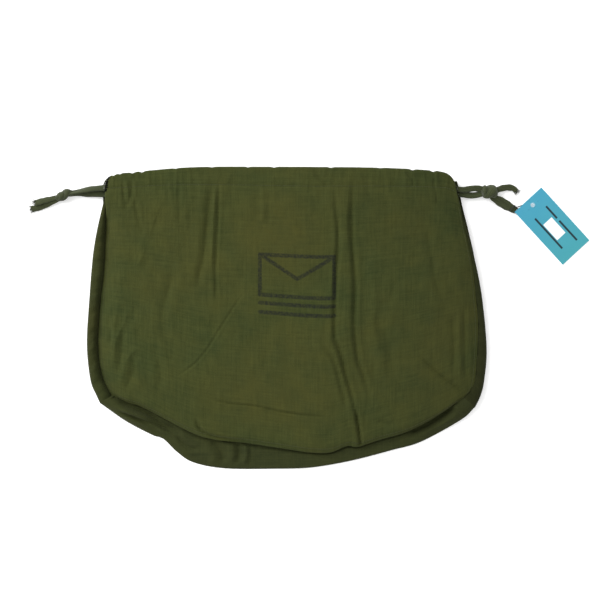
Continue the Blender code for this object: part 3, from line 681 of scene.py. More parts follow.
def segment_distance(n, x, y, a, b):
    """Distance of (x, y) from a straight line between two places, in nodes."""
    along = (b[0] - a[0], b[1] - a[1])
    size = along[0] ** 2 + along[1] ** 2
    dx = n.math("SUBTRACT", x, a[0])
    dy = n.math("SUBTRACT", y, a[1])
    dot = n.total((dy, along[1] / size), (dx, along[0] / size))
    share = n.math("MINIMUM", n.math("MAXIMUM", dot, 0.0), 1.0)
    ex = n.math("MULTIPLY_ADD", share, -along[0], dx)
    ey = n.math("MULTIPLY_ADD", share, -along[1], dy)
    return n.math("SQRT", n.math("MULTIPLY_ADD", ex, ex, n.math("MULTIPLY", ey, ey)))


def stamp_mask(n, x, y, centre, size, pen):
    """A plain envelope outline with two bars under it, as worn ink."""
    cx, cy = centre
    w, h = size[0] / 2, size[1] / 2
    low, high = cy - 0.4 * h, cy + h
    lines = [((cx - w, low), (cx + w, low)), ((cx - w, high), (cx + w, high)),
             ((cx - w, low), (cx - w, high)), ((cx + w, low), (cx + w, high)),
             ((cx - w, high), (cx, cy + 0.22 * h)), ((cx + w, high), (cx, cy + 0.22 * h)),
             ((cx - w, cy - 0.68 * h), (cx + w, cy - 0.68 * h)),
             ((cx - w, cy - h), (cx + w, cy - h))]
    near = None
    for a, b in lines:
        gap = segment_distance(n, x, y, a, b)
        near = gap if near is None else n.math("MINIMUM", near, gap)
    return n.ramp(near, pen * 0.70, pen * 0.40)


def blob(n, x, y, centre, size):
    """1 at a place, fading smoothly to 0 this far from it along X and Y."""
    dx = n.math("DIVIDE", n.math("SUBTRACT", x, centre[0]), size[0])
    dy = n.math("DIVIDE", n.math("SUBTRACT", y, centre[1]), size[1])
    gap = n.math("MULTIPLY_ADD", dx, dx, n.math("MULTIPLY", dy, dy))
    return n.ramp(gap, 1.0, 0.0)


def canvas(name, dark, light, worn, worn_at=(), stamp=False, painted_end_shades=(), painted_shade=()):
    """Plain-weave cotton: crossed yarns, slubs, faded patches and a soft nap.

    The last argument is painted shade: where along X the cloth starts to darken, where it stops,
    and what is left. The one before it is painted shade too: where along X the colour turns
    towards a darker end colour, and that colour.
    """
    n = Nodes(name)
    uv = n.cloth_uv()
    x, y = n.axes(uv)
    turns = 2 * math.pi / WEAVE
    across = n.math("SINE", n.math("MULTIPLY", x, turns))
    along = n.math("SINE", n.math("MULTIPLY", y, turns))
    yarns = n.math("MAXIMUM", n.math("ABSOLUTE", across), n.math("ABSOLUTE", along))
    height = n.total((n.math("MULTIPLY", across, along), 0.5), (yarns, 0.5))
    slubs = n.total((n.noise(n.stretch(uv, (22.0, 620.0, 1.0)), 1.0, 3.0), 0.30),
                    (n.noise(n.stretch(uv, (620.0, 22.0, 1.0)), 1.0, 3.0), 0.30),
                    (n.noise(n.stretch(uv, (45.0, 260.0, 1.0)), 1.0, 3.0), 0.20),
                    (n.noise(n.stretch(uv, (260.0, 45.0, 1.0)), 1.0, 3.0), 0.20))
    cloudy = n.noise(uv, 26.0, 5.0, 0.62)
    patches = n.noise(uv, 7.0, 4.0, 0.55)
    tone = n.total((slubs, 0.75), (cloudy, 0.25))
    colour = n.mix(n.ramp(tone, 0.41, 0.59), dark, light)
    fade = n.ramp(n.total((patches, 0.7), (cloudy, 0.3)), 0.40, 0.62, 0.0, 0.55)
    for centre, size, strength in worn_at:
        patch_here = n.math("MULTIPLY", blob(n, x, y, centre, size), strength)
        fade = n.math("MAXIMUM", fade, n.math("MULTIPLY", patch_here,
                                              n.ramp(cloudy, 0.30, 0.60, 0.55, 1.0)))
    warm = n.mix(n.ramp(tone, 0.41, 0.59), tuple(0.84 * c for c in worn[:3]) + (1.0,), worn)
    colour = n.mix(fade, colour, warm)
    # painted shade: towards the given places along X the colour turns to a darker shade colour
    for start, stop, end_shade_colour in painted_end_shades:
        colour = n.mix(n.ramp(x, start, stop, 0.0, 0.8), colour, end_shade_colour)
    fibres = n.ramp(n.noise(uv, 1500.0, 2.0), 0.3, 0.7, 0.80, 1.20)
    # painted shade: the colour, with its random fibre tone, darkens along X between the given
    # places
    for start, stop, share in painted_shade:
        fibres = n.math("MULTIPLY", fibres, n.ramp(x, start, stop, 1.0, share))
    tint = n.add("ShaderNodeCombineColor", {0: fibres, 1: fibres, 2: fibres}).outputs[0]
    colour = n.mix(1.0, colour, tint, "MULTIPLY")
    if stamp:
        ink = stamp_mask(n, x, y, (0.013, 0.040), (0.094, 0.074), 0.0044)
        blotch = n.ramp(n.noise(uv, 330.0, 4.0, 0.75), 0.36, 0.58, 0.25, 0.88)
        colour = n.mix(n.math("MULTIPLY", ink, blotch), colour, (0.0120, 0.0135, 0.0110, 1.0))
    n.link(colour, "Base Color")
    n.link(n.ramp(cloudy, 0.3, 0.7, 0.82, 0.96), "Roughness")
    n.set(Specular_IOR_Level=0.12, Sheen_Weight=0.04, Sheen_Roughness=0.5)
    n.set(Sheen_Tint=(0.75, 0.80, 0.50, 1.0))
    rough = n.bump(slubs, 0.0011, 0.8)
    n.link(n.bump(height, 0.00012, 0.8, rough), "Normal")
    return n.material


def tape_material(name, dark, light):
    """Soft woven cotton tape with a twill along it."""
    n = Nodes(name)
    uv = n.cloth_uv()
    u, v = n.axes(uv)
    bend = n.math("ABSOLUTE", n.math("SUBTRACT", v, 0.5))
    twill = n.math("SINE", n.math("MULTIPLY_ADD", u, 4200.0, n.math("MULTIPLY", bend, 26.0)))
    strands = n.noise(n.stretch(uv, (60.0, 34.0, 1.0)), 1.0, 4.0, 0.65)
    fuzz = n.noise(n.stretch(uv, (700.0, 20.0, 1.0)), 1.0, 4.0, 0.65)
    tone = n.total((twill, 0.06), (strands, 0.60), (fuzz, 0.40))
    n.link(n.mix(n.ramp(tone, 0.30, 0.72), dark, light), "Base Color")
    n.set(Roughness=0.9, Specular_IOR_Level=0.15, Sheen_Weight=0.15, Sheen_Roughness=0.5)
    relief = n.total((twill, 0.25), (strands, 1.0), (fuzz, 0.5))
    n.link(n.bump(relief, 0.00070, 0.9), "Normal")
    return n.material


def thread_material(name, dark, light, sheen=0.1):
    n = Nodes(name)
    at = n.add("ShaderNodeTexCoord").outputs["Object"]
    twist = n.noise(at, 2400.0, 3.0)
    n.link(n.mix(n.ramp(twist, 0.3, 0.7), dark, light), "Base Color")
    n.set(Roughness=0.85, Sheen_Weight=sheen, Specular_IOR_Level=sheen)
    n.link(n.bump(twist, 0.0001, 0.6), "Normal")
    return n.material


def card_material():
    """Printed card: blue, a blank white panel, and plain bars where print would be."""
    n = Nodes("blue_card")
    uv = n.cloth_uv()
    u, v = n.axes(uv)
    fibre_grain = n.noise(uv, 900.0, 4.0, 0.6)
    cloudy = n.noise(uv, 60.0, 3.0)
    sky = n.mix(n.ramp(u, -0.045, 0.045), (0.049, 0.297, 0.435, 1.0), (0.052, 0.316, 0.362, 1.0))
    sky = n.mix(n.ramp(cloudy, 0.3, 0.7, 0.0, 0.20), sky, (0.078, 0.360, 0.435, 1.0))
    off_u = n.math("ABSOLUTE", n.math("SUBTRACT", u, 0.0045))
    off_v = n.math("ABSOLUTE", v)
    panel = n.math("MULTIPLY", n.ramp(off_u, 0.0135, 0.0131), n.ramp(off_v, 0.0074, 0.0070))
    sky = n.mix(panel, sky, (0.85, 0.86, 0.86, 1.0))
    bars = None
    for start, stop, level in CARD_BARS:
        mid, half = (start + stop) / 2, (stop - start) / 2
        bar = n.math("MULTIPLY",
                     n.ramp(n.math("ABSOLUTE", n.math("SUBTRACT", u, mid)), half, half - 0.0003),
                     n.ramp(n.math("ABSOLUTE", n.math("SUBTRACT", v, level)), 0.0015, 0.0011))
        bars = bar if bars is None else n.math("MAXIMUM", bars, bar)
    sky = n.mix(n.math("MULTIPLY", bars, 0.93), sky, (0.006, 0.008, 0.010, 1.0))
    n.link(sky, "Base Color")
    n.link(n.ramp(fibre_grain, 0.3, 0.7, 0.45, 0.60), "Roughness")
    n.set(Specular_IOR_Level=0.3)
    n.link(n.bump(fibre_grain, 0.00005, 0.4), "Normal")
    return n.material


def plastic_material(name, colour, roughness, alpha=1.0):
    n = Nodes(name)
    at = n.add("ShaderNodeTexCoord").outputs["Object"]
    haze = n.noise(at, 900.0, 3.0)
    dim = tuple(0.75 * c for c in colour[:3]) + (1.0,)
    n.link(n.mix(n.ramp(haze, 0.3, 0.7, 0.0, 0.4), colour, dim), "Base Color")
    n.link(n.ramp(haze, 0.3, 0.7, roughness, roughness + 0.15), "Roughness")
    n.set(Alpha=alpha)
    return n.material


# cords, stitches and other small pieces ------------------------------------------------------

def frames_along(points):
    """Unit tangents along a line of points, and a side direction that turns least."""
    tangents = np.gradient(points, axis=0)
    tangents /= np.linalg.norm(tangents, axis=1)[:, None]
    side = np.cross(tangents[0], (0.0, 0.0, 1.0))
    sides = [side / np.linalg.norm(side)]
    for t in tangents[1:]:
        side = sides[-1] - (sides[-1] @ t) * t
        sides.append(side / np.linalg.norm(side))
    sides = np.array(sides)
    return tangents, sides, np.cross(tangents, sides)


def new_object(name, bm):
    mesh = bpy.data.meshes.new(name)
    bmesh.ops.recalc_face_normals(bm, faces=bm.faces)
    bm.to_mesh(mesh)
    bm.free()
    mesh.shade_smooth()
    made = bpy.data.objects.new(name, mesh)
    bpy.context.scene.collection.objects.link(made)
    return made


def sweep(name, points, widths, thicks, twists, ring=20, ridged=0.0, closed=False):
    """A tape of flattened section swept along a line, twisted as it goes."""
    points = np.asarray(points, float)
    count = len(points)
    _, sides, ups = frames_along(points)
    gaps = np.linalg.norm(np.diff(points, axis=0), axis=1)
    lengths = np.concatenate([[0.0], np.cumsum(gaps)])
    angles = 2 * math.pi * np.arange(ring) / ring
    wide = np.sign(np.cos(angles)) * np.abs(np.cos(angles)) ** 0.8
    deep = np.sign(np.sin(angles)) * np.abs(np.sin(angles)) ** 0.8
    wave = 1 + ridged * np.cos(7 * angles)
    bm = bmesh.new()
    layer = bm.loops.layers.uv.new("cloth")
    loops = []
    for k in range(count):
        c, s = math.cos(twists[k]), math.sin(twists[k])
        across = (sides[k] * c + ups[k] * s) * widths[k] / 2
        over = (ups[k] * c - sides[k] * s) * thicks[k] / 2
        line = points[k] + (across * wide[:, None] + over * deep[:, None]) * wave[:, None]
        loops.append([bm.verts.new(at) for at in line])
    for k in range(count if closed else count - 1):
        here, there = loops[k], loops[(k + 1) % count]
        for j in range(ring):
            face = bm.faces.new((here[j], there[j], there[(j + 1) % ring], here[(j + 1) % ring]))
            marks = ((k, j), (k + 1, j), (k + 1, j + 1), (k, j + 1))
            for loop, (row, turn) in zip(face.loops, marks):
                loop[layer].uv = (lengths[min(row, count - 1)], turn / ring)
    if not closed:
        bm.faces.new(loops[0])
        bm.faces.new(loops[-1][::-1])
    return new_object(name, bm)


def tubes(name, paths, radii, across=(0.0, 1.0, 0.0), ring=6):
    """Many short threads as one mesh: paths is (threads, stations, 3)."""
    paths = np.asarray(paths, float)
    radii = np.broadcast_to(radii, paths.shape[:2])
    tangents = np.gradient(paths, axis=1)
    tangents /= np.linalg.norm(tangents, axis=-1, keepdims=True)
    across = np.broadcast_to(across, paths.shape)
    sides = across - (across * tangents).sum(-1, keepdims=True) * tangents
    sides /= np.linalg.norm(sides, axis=-1, keepdims=True)
    ups = np.cross(tangents, sides)
    angles = 2 * math.pi * np.arange(ring) / ring
    spokes = (sides[..., None, :] * np.cos(angles)[:, None]
              + ups[..., None, :] * np.sin(angles)[:, None])
    places = paths[..., None, :] + spokes * radii[..., None, None]
    threads, stations = paths.shape[:2]
    index = np.arange(threads * stations * ring).reshape(threads, stations, ring)
    here, there = index[:, :-1], index[:, 1:]
    sides_of = np.stack([here, np.roll(here, -1, 2), np.roll(there, -1, 2), there], -1)
    faces = sides_of.reshape(-1, 4).tolist()
    faces += index[:, 0, ::-1].tolist() + index[:, -1].tolist()
    mesh = bpy.data.meshes.new(name)
    mesh.from_pydata(places.reshape(-1, 3).tolist(), [], faces)
    mesh.shade_smooth()
    mesh.uv_layers.new(name="cloth")
    made = bpy.data.objects.new(name, mesh)
    bpy.context.scene.collection.objects.link(made)
    return made


def joined(name, pieces):
    """Several meshes made one, with their UV maps."""
    bm = bmesh.new()
    for piece in pieces:
        bm.from_mesh(piece.data)
        bpy.data.objects.remove(piece)
    return new_object(name, bm)


def strand(name, route, turns, start, width):
    line = Route(route)
    shares = np.linspace(0.0, 1.0, 60)
    widths = width * (1 + 0.05 * np.sin(shares * 17.0 + len(name)))
    widths = widths * np.interp(shares, (0.0, 0.45, 0.80, 1.0), (1.0, 0.96, 1.12, 1.0))
    thicks = TAPE_THICK * (1 + 0.12 * np.sin(shares * 11.0 + 2.0))
    return sweep(name, line(shares), widths, thicks, start + turns * 2 * math.pi * shares,
                 ridged=0.05)


def frayed_end(name, at, forward, side, width, thick, seed, count):
    """Loose fibres that droop and spread from a cut end."""
    rng = np.random.default_rng(seed)
    across = rng.uniform(-0.48, 0.48, count)
    roots = at + side * (across * width)[:, None] - forward * 0.0010
    roots[:, 2] += rng.uniform(-0.3, 0.3, count) * thick
    leans = forward + side * (0.9 * across + rng.uniform(-0.35, 0.35, count))[:, None]
    leans[:, 2] += rng.uniform(-0.10, 0.20, count)
    lengths = rng.uniform(0.0018, 0.0055, count)
    bends = side * rng.uniform(-0.4, 0.4, count)[:, None] - (0.0, 0.0, 0.25)
    u = np.linspace(0.0, 1.0, 6)
    paths = (roots[:, None] + leans[:, None] * (lengths[:, None] * u)[..., None]
             + bends[:, None] * (lengths[:, None] * u * u)[..., None])
    radii = rng.uniform(0.00012, 0.00028, count)[:, None] * np.linspace(1.0, 0.5, 6)
    paths[..., 2] = np.maximum(paths[..., 2], 1.2 * radii)
    return tubes(name, paths, radii, side)


def tail(name, route, widths, thick, turns, seed, start):
    """A cord's cut end: flat tape that widens and frays."""
    line = Route(route)
    shares = np.linspace(0.0, 1.0, 26)
    wide = np.interp(shares, np.linspace(0, 1, len(widths)), widths)
    wide = wide * (1 + 0.05 * np.sin(shares * 23.0 + seed))
    twists = start + turns * 2 * math.pi * shares
    thin = thick * (1 + 0.10 * np.sin(shares * 13.0 + seed))
    body = sweep(f"{name}_tape", line(shares), wide, thin, twists, ring=28, ridged=0.07)
    end = line(np.array([0.985, 1.0]))
    forward = (end[1] - end[0]) / np.linalg.norm(end[1] - end[0])
    side = np.cross(forward, (0.0, 0.0, 1.0))
    side /= np.linalg.norm(side)
    side = side * math.cos(twists[-1]) + np.array([0.0, 0.0, 1.0]) * math.sin(twists[-1])
    ends = frayed_end(f"{name}_fibres", end[1], forward, side, wide[-1], thick, seed, 46)
    return joined(name, [body, ends])


def knot(name, centre, turn, core, wraps):
    """A tight knot: a spindle whose surface carries the cord's own turns as raised bands.

    core is half the knot's length, width and height. A wrap is its place along the knot, its
    lean across it, its half width and its height, all as shares of the core.
    """
    rings, ring = 72, 64
    u = np.linspace(-1.0, 1.0, rings)[:, None]
    angles = (2 * math.pi * np.arange(ring) / ring)[None, :]
    base = 0.40 + 0.60 * np.sqrt(np.clip(1 - np.abs(0.98 * u) ** 2.4, 0.0, 1.0))
    relief = np.zeros((rings, ring))
    run = np.zeros((rings, ring))
    for along, lean, phase, half, high in wraps:
        off = (u - along - lean * np.cos(angles - phase)) / half
        raised = high * np.clip(1 - off ** 2, 0.0, 1.0) ** 0.55
        run = np.where(raised > relief, 0.5 + 0.5 * off, run)
        relief = np.maximum(relief, raised)
    radius = (base + relief) * np.sqrt(np.clip(1 - (0.99 * u) ** 6, 0.02, 1.0))
    axis = np.array([math.cos(turn), math.sin(turn), 0.0])
    side = np.array([-axis[1], axis[0], 0.0])
    up = np.array([0.0, 0.0, 1.0])
    places = (np.array(centre) + axis * (u * core[0])[..., None]
              + side * (radius * np.cos(angles) * core[1])[..., None]
              + up * (radius * np.sin(angles) * core[2])[..., None])
    places[..., 2] = np.maximum(places[..., 2], 0.0002)
    bm = bmesh.new()
    layer = bm.loops.layers.uv.new("cloth")
    loops = [[bm.verts.new(at) for at in row] for row in places]
    for k in range(rings - 1):
        for j in range(ring):
            m = (j + 1) % ring
            face = bm.faces.new((loops[k][j], loops[k + 1][j], loops[k + 1][m], loops[k][m]))
            marks = ((k, j, j), (k + 1, j, j), (k + 1, m, j + 1), (k, m, j + 1))
            for loop, (row, column, turned) in zip(face.loops, marks):
                loop[layer].uv = (turned * 0.0006, run[row, column])
    bm.faces.new(loops[0])
    bm.faces.new(loops[-1][::-1])
    return new_object(name, bm)


# build -------------------------------------------------------------------------------------

def finish_piece(made, material, body, nodes):
    made.data.materials.clear()
    made.data.materials.append(material)
    if isinstance(body, str):
        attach(made, body)
    else:
        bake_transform(made)
    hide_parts(*nodes)
    return made


def build_cloth():
    # painted shade: the front darkens towards its right side
    olive = canvas("olive_canvas", *OLIVE, worn_at=(((-0.010, 0.100), (0.090, 0.085), 0.85),
                                                    ((-0.020, -0.105), (0.130, 0.065), 0.75)),
                   stamp=True, painted_shade=((0.020, 0.200, 0.84),))
    # painted shade: the back is drawn in a darker copy of the olive and darkens further in its
    # side rolls
    plain = canvas("olive_canvas_back_shaded", *SHADED,
                   painted_shade=((0.520, 0.485, 0.78), (0.870, 0.910, 0.48)))
    # painted shade: the base is drawn in a darker copy of the olive, and its ends turn darker
    # still to match the side rolls
    deep = canvas("olive_canvas_base_shaded", *DEEP_SHADED,
                  painted_end_shades=((-0.120, -0.185, (0.0330, 0.0385, 0.0105, 1.0)),
                             (0.130, 0.225, (0.0220, 0.0260, 0.0072, 1.0))))
    front, back = front_sheets(), back_sheets()
    for side in ("left", "right"):
        finish_piece(front[side], olive, BLENDS[side], ("front_panel", "front_casing"))
        finish_piece(back[side], plain, BLENDS[side], ("back_panel", "back_casing"))
    base = finish_piece(base_sheet(), deep, "sack", ("base_panel",))


def stitches_between(name, starts, ends, lift, across, radius=0.00026):
    """A row of short threads that dip into the cloth at both ends."""
    u = np.linspace(0.0, 1.0, 5)
    paths = starts[:, None] * (1 - u)[:, None] + ends[:, None] * u[:, None]
    paths[..., 2] += lift * np.sin(math.pi * u) - 0.00014
    return tubes(name, paths, radius, across, ring=5)


def build_stitches():
    yarn = thread_material("olive_thread", (0.030, 0.036, 0.012, 1.0), (0.070, 0.076, 0.030, 1.0))
    pitch, length = 0.0031, 0.0024
    for side, low, high in (("left", 0.012, SPLIT), ("right", SPLIT, 0.988)):
        shares = np.arange(low, high - pitch / PANEL_WIDTH, pitch / PANEL_WIDTH)
        below = np.full(len(shares), CASING)
        starts = front_surface(shares, below)
        ends = front_surface(shares + length / PANEL_WIDTH, below)
        made = stitches_between(f"{side}_hem_stitches", starts, ends, 0.00040, (0, 1, 0))
        finish_piece(made, yarn, BLENDS[side], ("front_casing_stitching",))
        keep = slice(3, None) if side == "left" else slice(None, -3)
        starts, ends = starts[keep], ends[keep]
        starts[:, 2] = ends[:, 2] = 0.0004
        made = stitches_between(f"{side}_back_hem_stitches", starts, ends, 0.0, (0, 1, 0))
        finish_piece(made, yarn, BLENDS[side], ("back_casing_stitching",))
        share = 0.009 if side == "left" else 0.991
        rows = np.arange(0.045, PANEL_LENGTH - 0.012, pitch)
        starts = front_surface(np.full(len(rows), share), rows)
        ends = front_surface(np.full(len(rows), share), rows + length)
        made = stitches_between(f"{side}_seam_stitches", starts, ends, 0.00030, (1, 0, 0))
        finish_piece(made, yarn, BLENDS[side], (f"{side}_side_stitching",))
    shares = np.arange(0.03, 0.97, pitch / PANEL_WIDTH)
    below = np.full(len(shares), PANEL_LENGTH - 0.0060)
    made = stitches_between("base_seam_stitches", front_surface(shares, below),
                            front_surface(shares + length / PANEL_WIDTH, below), 0.00035,
                            (0, 1, 0))
    finish_piece(made, yarn, "sack", ("base_seam_stitching",))


def slot_stitches(name, side, seed):
    """Dark overcast stitches round the front lip of a cord slot, with loose ends."""
    rng = np.random.default_rng(seed)
    below = np.arange(0.0030 if side == "left" else 0.0095, 0.0280, 0.00120)
    count = len(below)
    yarn = 1.0 if side == "left" else 0.55
    outward = np.array([-1.0 if side == "left" else 1.0, 0.0, 0.0])
    # longest where the cord comes out, and hardly there on the worn right side
    far = 0.0098 if side == "left" else 0.0022
    shares = np.zeros((2, count))
    shares[1] = far * (0.22 + 0.78 * np.exp(-((below - 0.0195) / 0.0070) ** 2))
    shares[1] *= rng.uniform(0.45, 1.10, count)
    if side == "right":
        shares = 1 - shares
    rim = front_surface(shares[0], below)
    on = front_surface(shares[1], below + rng.uniform(-0.0008, 0.0008, count))
    up = np.array([0.0, 0.0, 1.0])
    stations = [on - up * 0.0002, on * 0.7 + rim * 0.3 + up * 0.0006,
                on * 0.3 + rim * 0.7 + up * 0.0006, rim + outward * 0.0003 + up * 0.0002,
                rim + outward * 0.0004 - up * 0.0008, rim - outward * 0.0006 - up * 0.0022]
    paths = np.stack(stations, axis=1)
    radii = yarn * np.repeat(rng.uniform(0.00042, 0.00062, count)[:, None], 6, axis=1)
    loops = tubes(name, paths, radii)
    keep = rng.random(count) < 0.30
    ends = rim[keep] + outward * 0.0004
    lean = outward * 1.0 + up * rng.uniform(-0.2, 0.4, (keep.sum(), 1))
    lean[:, 1] += rng.uniform(-0.6, 0.6, keep.sum())
    u = np.linspace(0.0, 1.0, 4)
    sprigs = ends[:, None] + lean[:, None] * (0.0020 * yarn * u)[:, None]
    return loops, tubes(f"{name}_ends", sprigs, 0.00022 * yarn)


def build_cords():
    tape = tape_material("olive_tape", (0.016, 0.022, 0.008, 1.0), (0.072, 0.084, 0.034, 1.0))
    dark = thread_material("dark_thread", (0.001, 0.001, 0.001, 1.0), (0.007, 0.008, 0.006, 1.0),
                           sheen=0.02)
    pale = thread_material("pale_thread", (0.150, 0.150, 0.160, 1.0), (0.330, 0.330, 0.340, 1.0))
    for side, seed in (("left", 11), ("right", 12)):
        loops, ends = slot_stitches(f"{side}_slot_stitches", side, seed)
        finish_piece(loops, dark, BLENDS[side], (f"{side}_slot_binding",))
        finish_piece(ends, pale, BLENDS[side], (f"{side}_slot_binding",))

    pieces = {
        "left_knot": knot("left_knot_tied", (-0.2838, 0.1552, 0.0058), math.radians(24.0),
                          (0.0122, 0.0043, 0.0040),
                          ((-0.50, 0.34, 1.2, 0.34, 0.34), (0.08, 0.46, 1.0, 0.36, 0.50),
                           (0.64, 0.26, 2.2, 0.30, 0.32))),
        "right_knot": knot("right_knot_tied", (0.2578, 0.1593, 0.0074), math.radians(-14.0),
                           (0.0110, 0.0068, 0.0052),
                           ((-0.70, 0.18, 2.6, 0.24, 0.26), (-0.04, 0.44, 0.9, 0.50, 0.42),
                            (0.64, 0.26, 3.0, 0.28, 0.26))),
        "left_upper_tail": tail("left_tail_upper", LEFT_TAIL_UPPER,
                                (0.0052, 0.0062, 0.0080, 0.0086), 0.0024, 0.04, 21, 0.20),
        "left_lower_tail": tail("left_tail_lower", LEFT_TAIL_LOWER,
                                (0.0048, 0.0062, 0.0076, 0.0082), 0.0024, -0.04, 22, 0.05),
        "right_upper_tail": tail("right_tail_upper", RIGHT_TAIL_UPPER,
                                 (0.0062, 0.0074, 0.0080, 0.0078, 0.0062), 0.0032, 0.03, 23, 0.1),
        "right_lower_tail": tail("right_tail_lower", RIGHT_TAIL_LOWER,
                                 (0.0064, 0.0104, 0.0124, 0.0112, 0.0080), 0.0028, 0.02, 24, 0.0),
    }
    for node, made in pieces.items():
        finish_piece(made, tape, f"{node.split('_')[0]}_cord", (node,))

    for name, route, turns, start, side in STRANDS:
        width = TAPE_WIDTHS[side]
        made = strand(name, route, turns, start, width)
        exit_x, knot_x = (-0.2320, -0.2740) if side == "left" else (0.2180, 0.2480)
        joint = (f"{side}_mouth_end", f"{side}_cord", (exit_x, 0.16, 0.0), (knot_x, 0.16, 0.0))
        finish_piece(made, tape, joint, (f"{side}_drawcord",))
        line = Route(route)
        extra = [pieces[f"{side}_knot"]]
        if "front" in name:
            extra += [pieces[f"{side}_upper_tail"], pieces[f"{side}_lower_tail"]]
        line(np.linspace(0, 1, 40)).tolist()


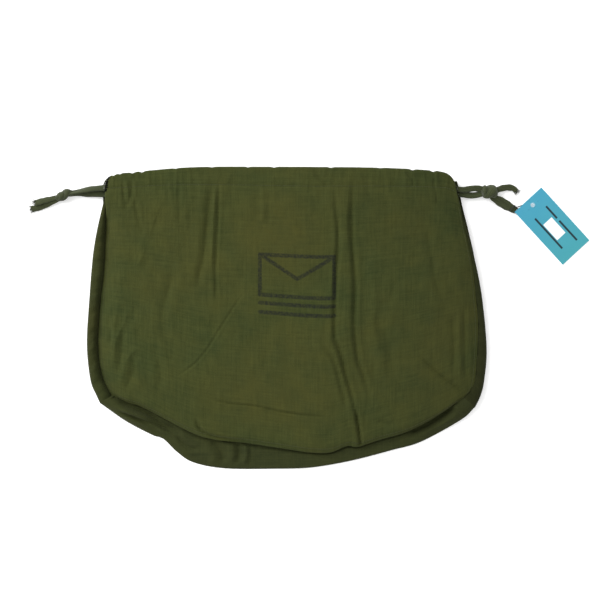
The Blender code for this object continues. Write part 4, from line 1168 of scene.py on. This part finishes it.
def build_tag():
    low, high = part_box("swing_tag")
    centre = (low + high) / 2
    centre.x += 0.0012
    turn = math.radians(-47.2)
    length, width, thick = 0.0915, 0.0462, 0.0005
    hole_x, radius, patch_half = -length / 2 + 0.0092, 0.0022, 0.0080
    bm = bmesh.new()
    layer = bm.loops.layers.uv.new("cloth")
    corners = {}

    def vert(x, y):
        key = (round(x, 6), round(y, 6))
        if key not in corners:
            corners[key] = bm.verts.new((x, y, 0.0))
        return corners[key]

    # the card is a grid with a square left out round the hole, filled by a ring
    xs = np.concatenate([[-length / 2], np.linspace(hole_x - patch_half, hole_x + patch_half, 9),
                         np.linspace(hole_x + patch_half, length / 2, 30)[1:]])
    ys = np.concatenate([np.linspace(-width / 2, -patch_half, 8)[:-1],
                         np.linspace(-patch_half, patch_half, 9),
                         np.linspace(patch_half, width / 2, 8)[1:]])
    for x0, x1 in zip(xs, xs[1:]):
        for y0, y1 in zip(ys, ys[1:]):
            if max(abs((x0 + x1) / 2 - hole_x), abs((y0 + y1) / 2)) > patch_half:
                bm.faces.new((vert(x0, y0), vert(x1, y0), vert(x1, y1), vert(x0, y1)))
    ring = 32
    rim, square = [], []
    for k in range(ring):
        c, s = math.cos(2 * math.pi * k / ring), math.sin(2 * math.pi * k / ring)
        rim.append(vert(hole_x + radius * c, radius * s))
        reach = patch_half / max(abs(c), abs(s))
        square.append(vert(hole_x + reach * c, reach * s))
    for k in range(ring):
        bm.faces.new((square[k], square[(k + 1) % ring], rim[(k + 1) % ring], rim[k]))
    bmesh.ops.remove_doubles(bm, verts=bm.verts, dist=0.0002)
    for v in bm.verts:
        u = 0.5 - v.co.x / length
        curl = 0.0006 * (2 * v.co.y / width) ** 2
        for loop in v.link_loops:
            loop[layer].uv = (v.co.x, v.co.y)
        v.co.z = CARD_TILT * u + curl
    bmesh.ops.solidify(bm, geom=bm.faces[:], thickness=thick)
    bm.transform(Matrix.Translation((centre.x, centre.y, low.z + thick))
                 @ Matrix.Rotation(turn, 4, "Z"))
    made = new_object("hang_tag", bm)
    made.data.shade_flat()
    finish_piece(made, card_material(), "tag", ("swing_tag",))

    # the elastic's hitch round the tail and its loop through the hole
    black = plastic_material("black_elastic", (0.006, 0.006, 0.007, 1.0), 0.55)
    hole = np.array([centre.x + hole_x * math.cos(turn), centre.y + hole_x * math.sin(turn),
                     0.0])
    hitch = Route(RIGHT_TAIL_LOWER)(np.array(0.86)) + (0, 0, 0.0010)
    way = np.array([math.cos(turn), math.sin(turn), 0.0])
    over = np.array([-way[1], way[0], 0.0])
    angles = np.linspace(0.0, 2 * math.pi, 33)[:-1] + math.pi / 2
    loop = (hitch + over * (0.0050 * np.cos(angles))[:, None]
            + np.array([0.0, 0.0, 1.0]) * (0.0021 * np.sin(angles))[:, None])
    pieces = [sweep("elastic_hitch", loop, np.full(32, 0.0012), np.full(32, 0.0012),
                    np.zeros(32), ring=8, closed=True)]
    side_on = hitch + over * 0.0050
    run = Route([side_on, side_on + way * 0.0030 + (0, 0, 0.0004),
                 hole * 0.5 + side_on * 0.5 + over * 0.0015 + (0, 0, -0.0002),
                 hole + (0, 0, 0.0014) - way * 0.0030])
    shares = np.linspace(0.0, 1.0, 40)
    pieces.append(sweep("elastic_run", run(shares), np.full(40, 0.0011), np.full(40, 0.0011),
                        np.zeros(40), ring=8))
    made = joined("tag_loop", pieces)
    joint = ("right_cord", "tag", tuple(hitch + way * 0.003), tuple(hole))
    finish_piece(made, black, joint, ("tag_elastic",))

    # the clear ring round the hole lies on the tilted card
    clear = plastic_material("clear_plastic", (0.30, 0.52, 0.62, 1.0), 0.20)
    angles = np.linspace(0.0, 2 * math.pi, 33)[:-1]
    lift = low.z + thick + CARD_TILT * (0.5 - hole_x / length) + 0.0001
    circle = (hole + way * (0.0027 * np.cos(angles))[:, None]
              + over * (0.0027 * np.sin(angles))[:, None])
    circle[:, 2] = lift - CARD_TILT * 0.0027 * np.cos(angles) / length
    made = sweep("hole_ring", circle, np.full(32, 0.0009), np.full(32, 0.0003),
                 np.zeros(32), ring=8, closed=True)
    finish_piece(made, clear, "tag", ("tag_eyelet",))


def build_stage():
    n = Nodes("pale_floor")
    at = n.add("ShaderNodeTexCoord").outputs["Object"]
    n.link(n.mix(n.ramp(n.noise(at, 3.0, 2.0), 0.3, 0.7), (0.91, 0.91, 0.91, 1.0),
                 (0.93, 0.93, 0.93, 1.0)), "Base Color")
    n.set(Roughness=0.9, Specular_IOR_Level=0.1, Emission_Strength=FLOOR_GLOW)
    n.set(Emission_Color=(1.0, 1.0, 1.0, 1.0))
    bm = bmesh.new()
    bmesh.ops.create_grid(bm, x_segments=1, y_segments=1, size=6.0)
    floor = new_object("floor", bm)
    floor.location.z = -0.0002
    floor.data.materials.append(n.material)

    world = bpy.data.worlds.new("studio")
    bpy.context.scene.world = world
    world.use_nodes = True
    background = world.node_tree.nodes["Background"]
    background.inputs["Color"].default_value = (1.0, 1.0, 1.0, 1.0)
    background.inputs["Strength"].default_value = WORLD_STRENGTH
    light = bpy.data.lights.new("key", "AREA")
    light.size = 2.4
    light.energy = KEY_POWER
    lamp = bpy.data.objects.new("key", light)
    bpy.context.scene.collection.objects.link(lamp)
    lamp.location = KEY_PLACE
    lamp.rotation_euler = (-Vector(KEY_PLACE)).to_track_quat("-Z", "Y").to_euler()
    bpy.context.scene.view_settings.view_transform = "Standard"


def build_camera():
    """Straight down on the sack, as wide as the photographed frame."""
    data = bpy.data.cameras.new("camera")
    camera = bpy.data.objects.new("camera", data)
    bpy.context.scene.collection.objects.link(camera)
    view_width, distance = 0.762, 1.60
    data.sensor_width = 36.0
    data.lens = data.sensor_width * distance / view_width
    camera.location = (0.0168, 0.0216, distance + 0.010)
    bpy.context.scene.camera = camera


build_camera()
build_cords()
build_cloth()
build_stitches()
build_tag()
build_stage()
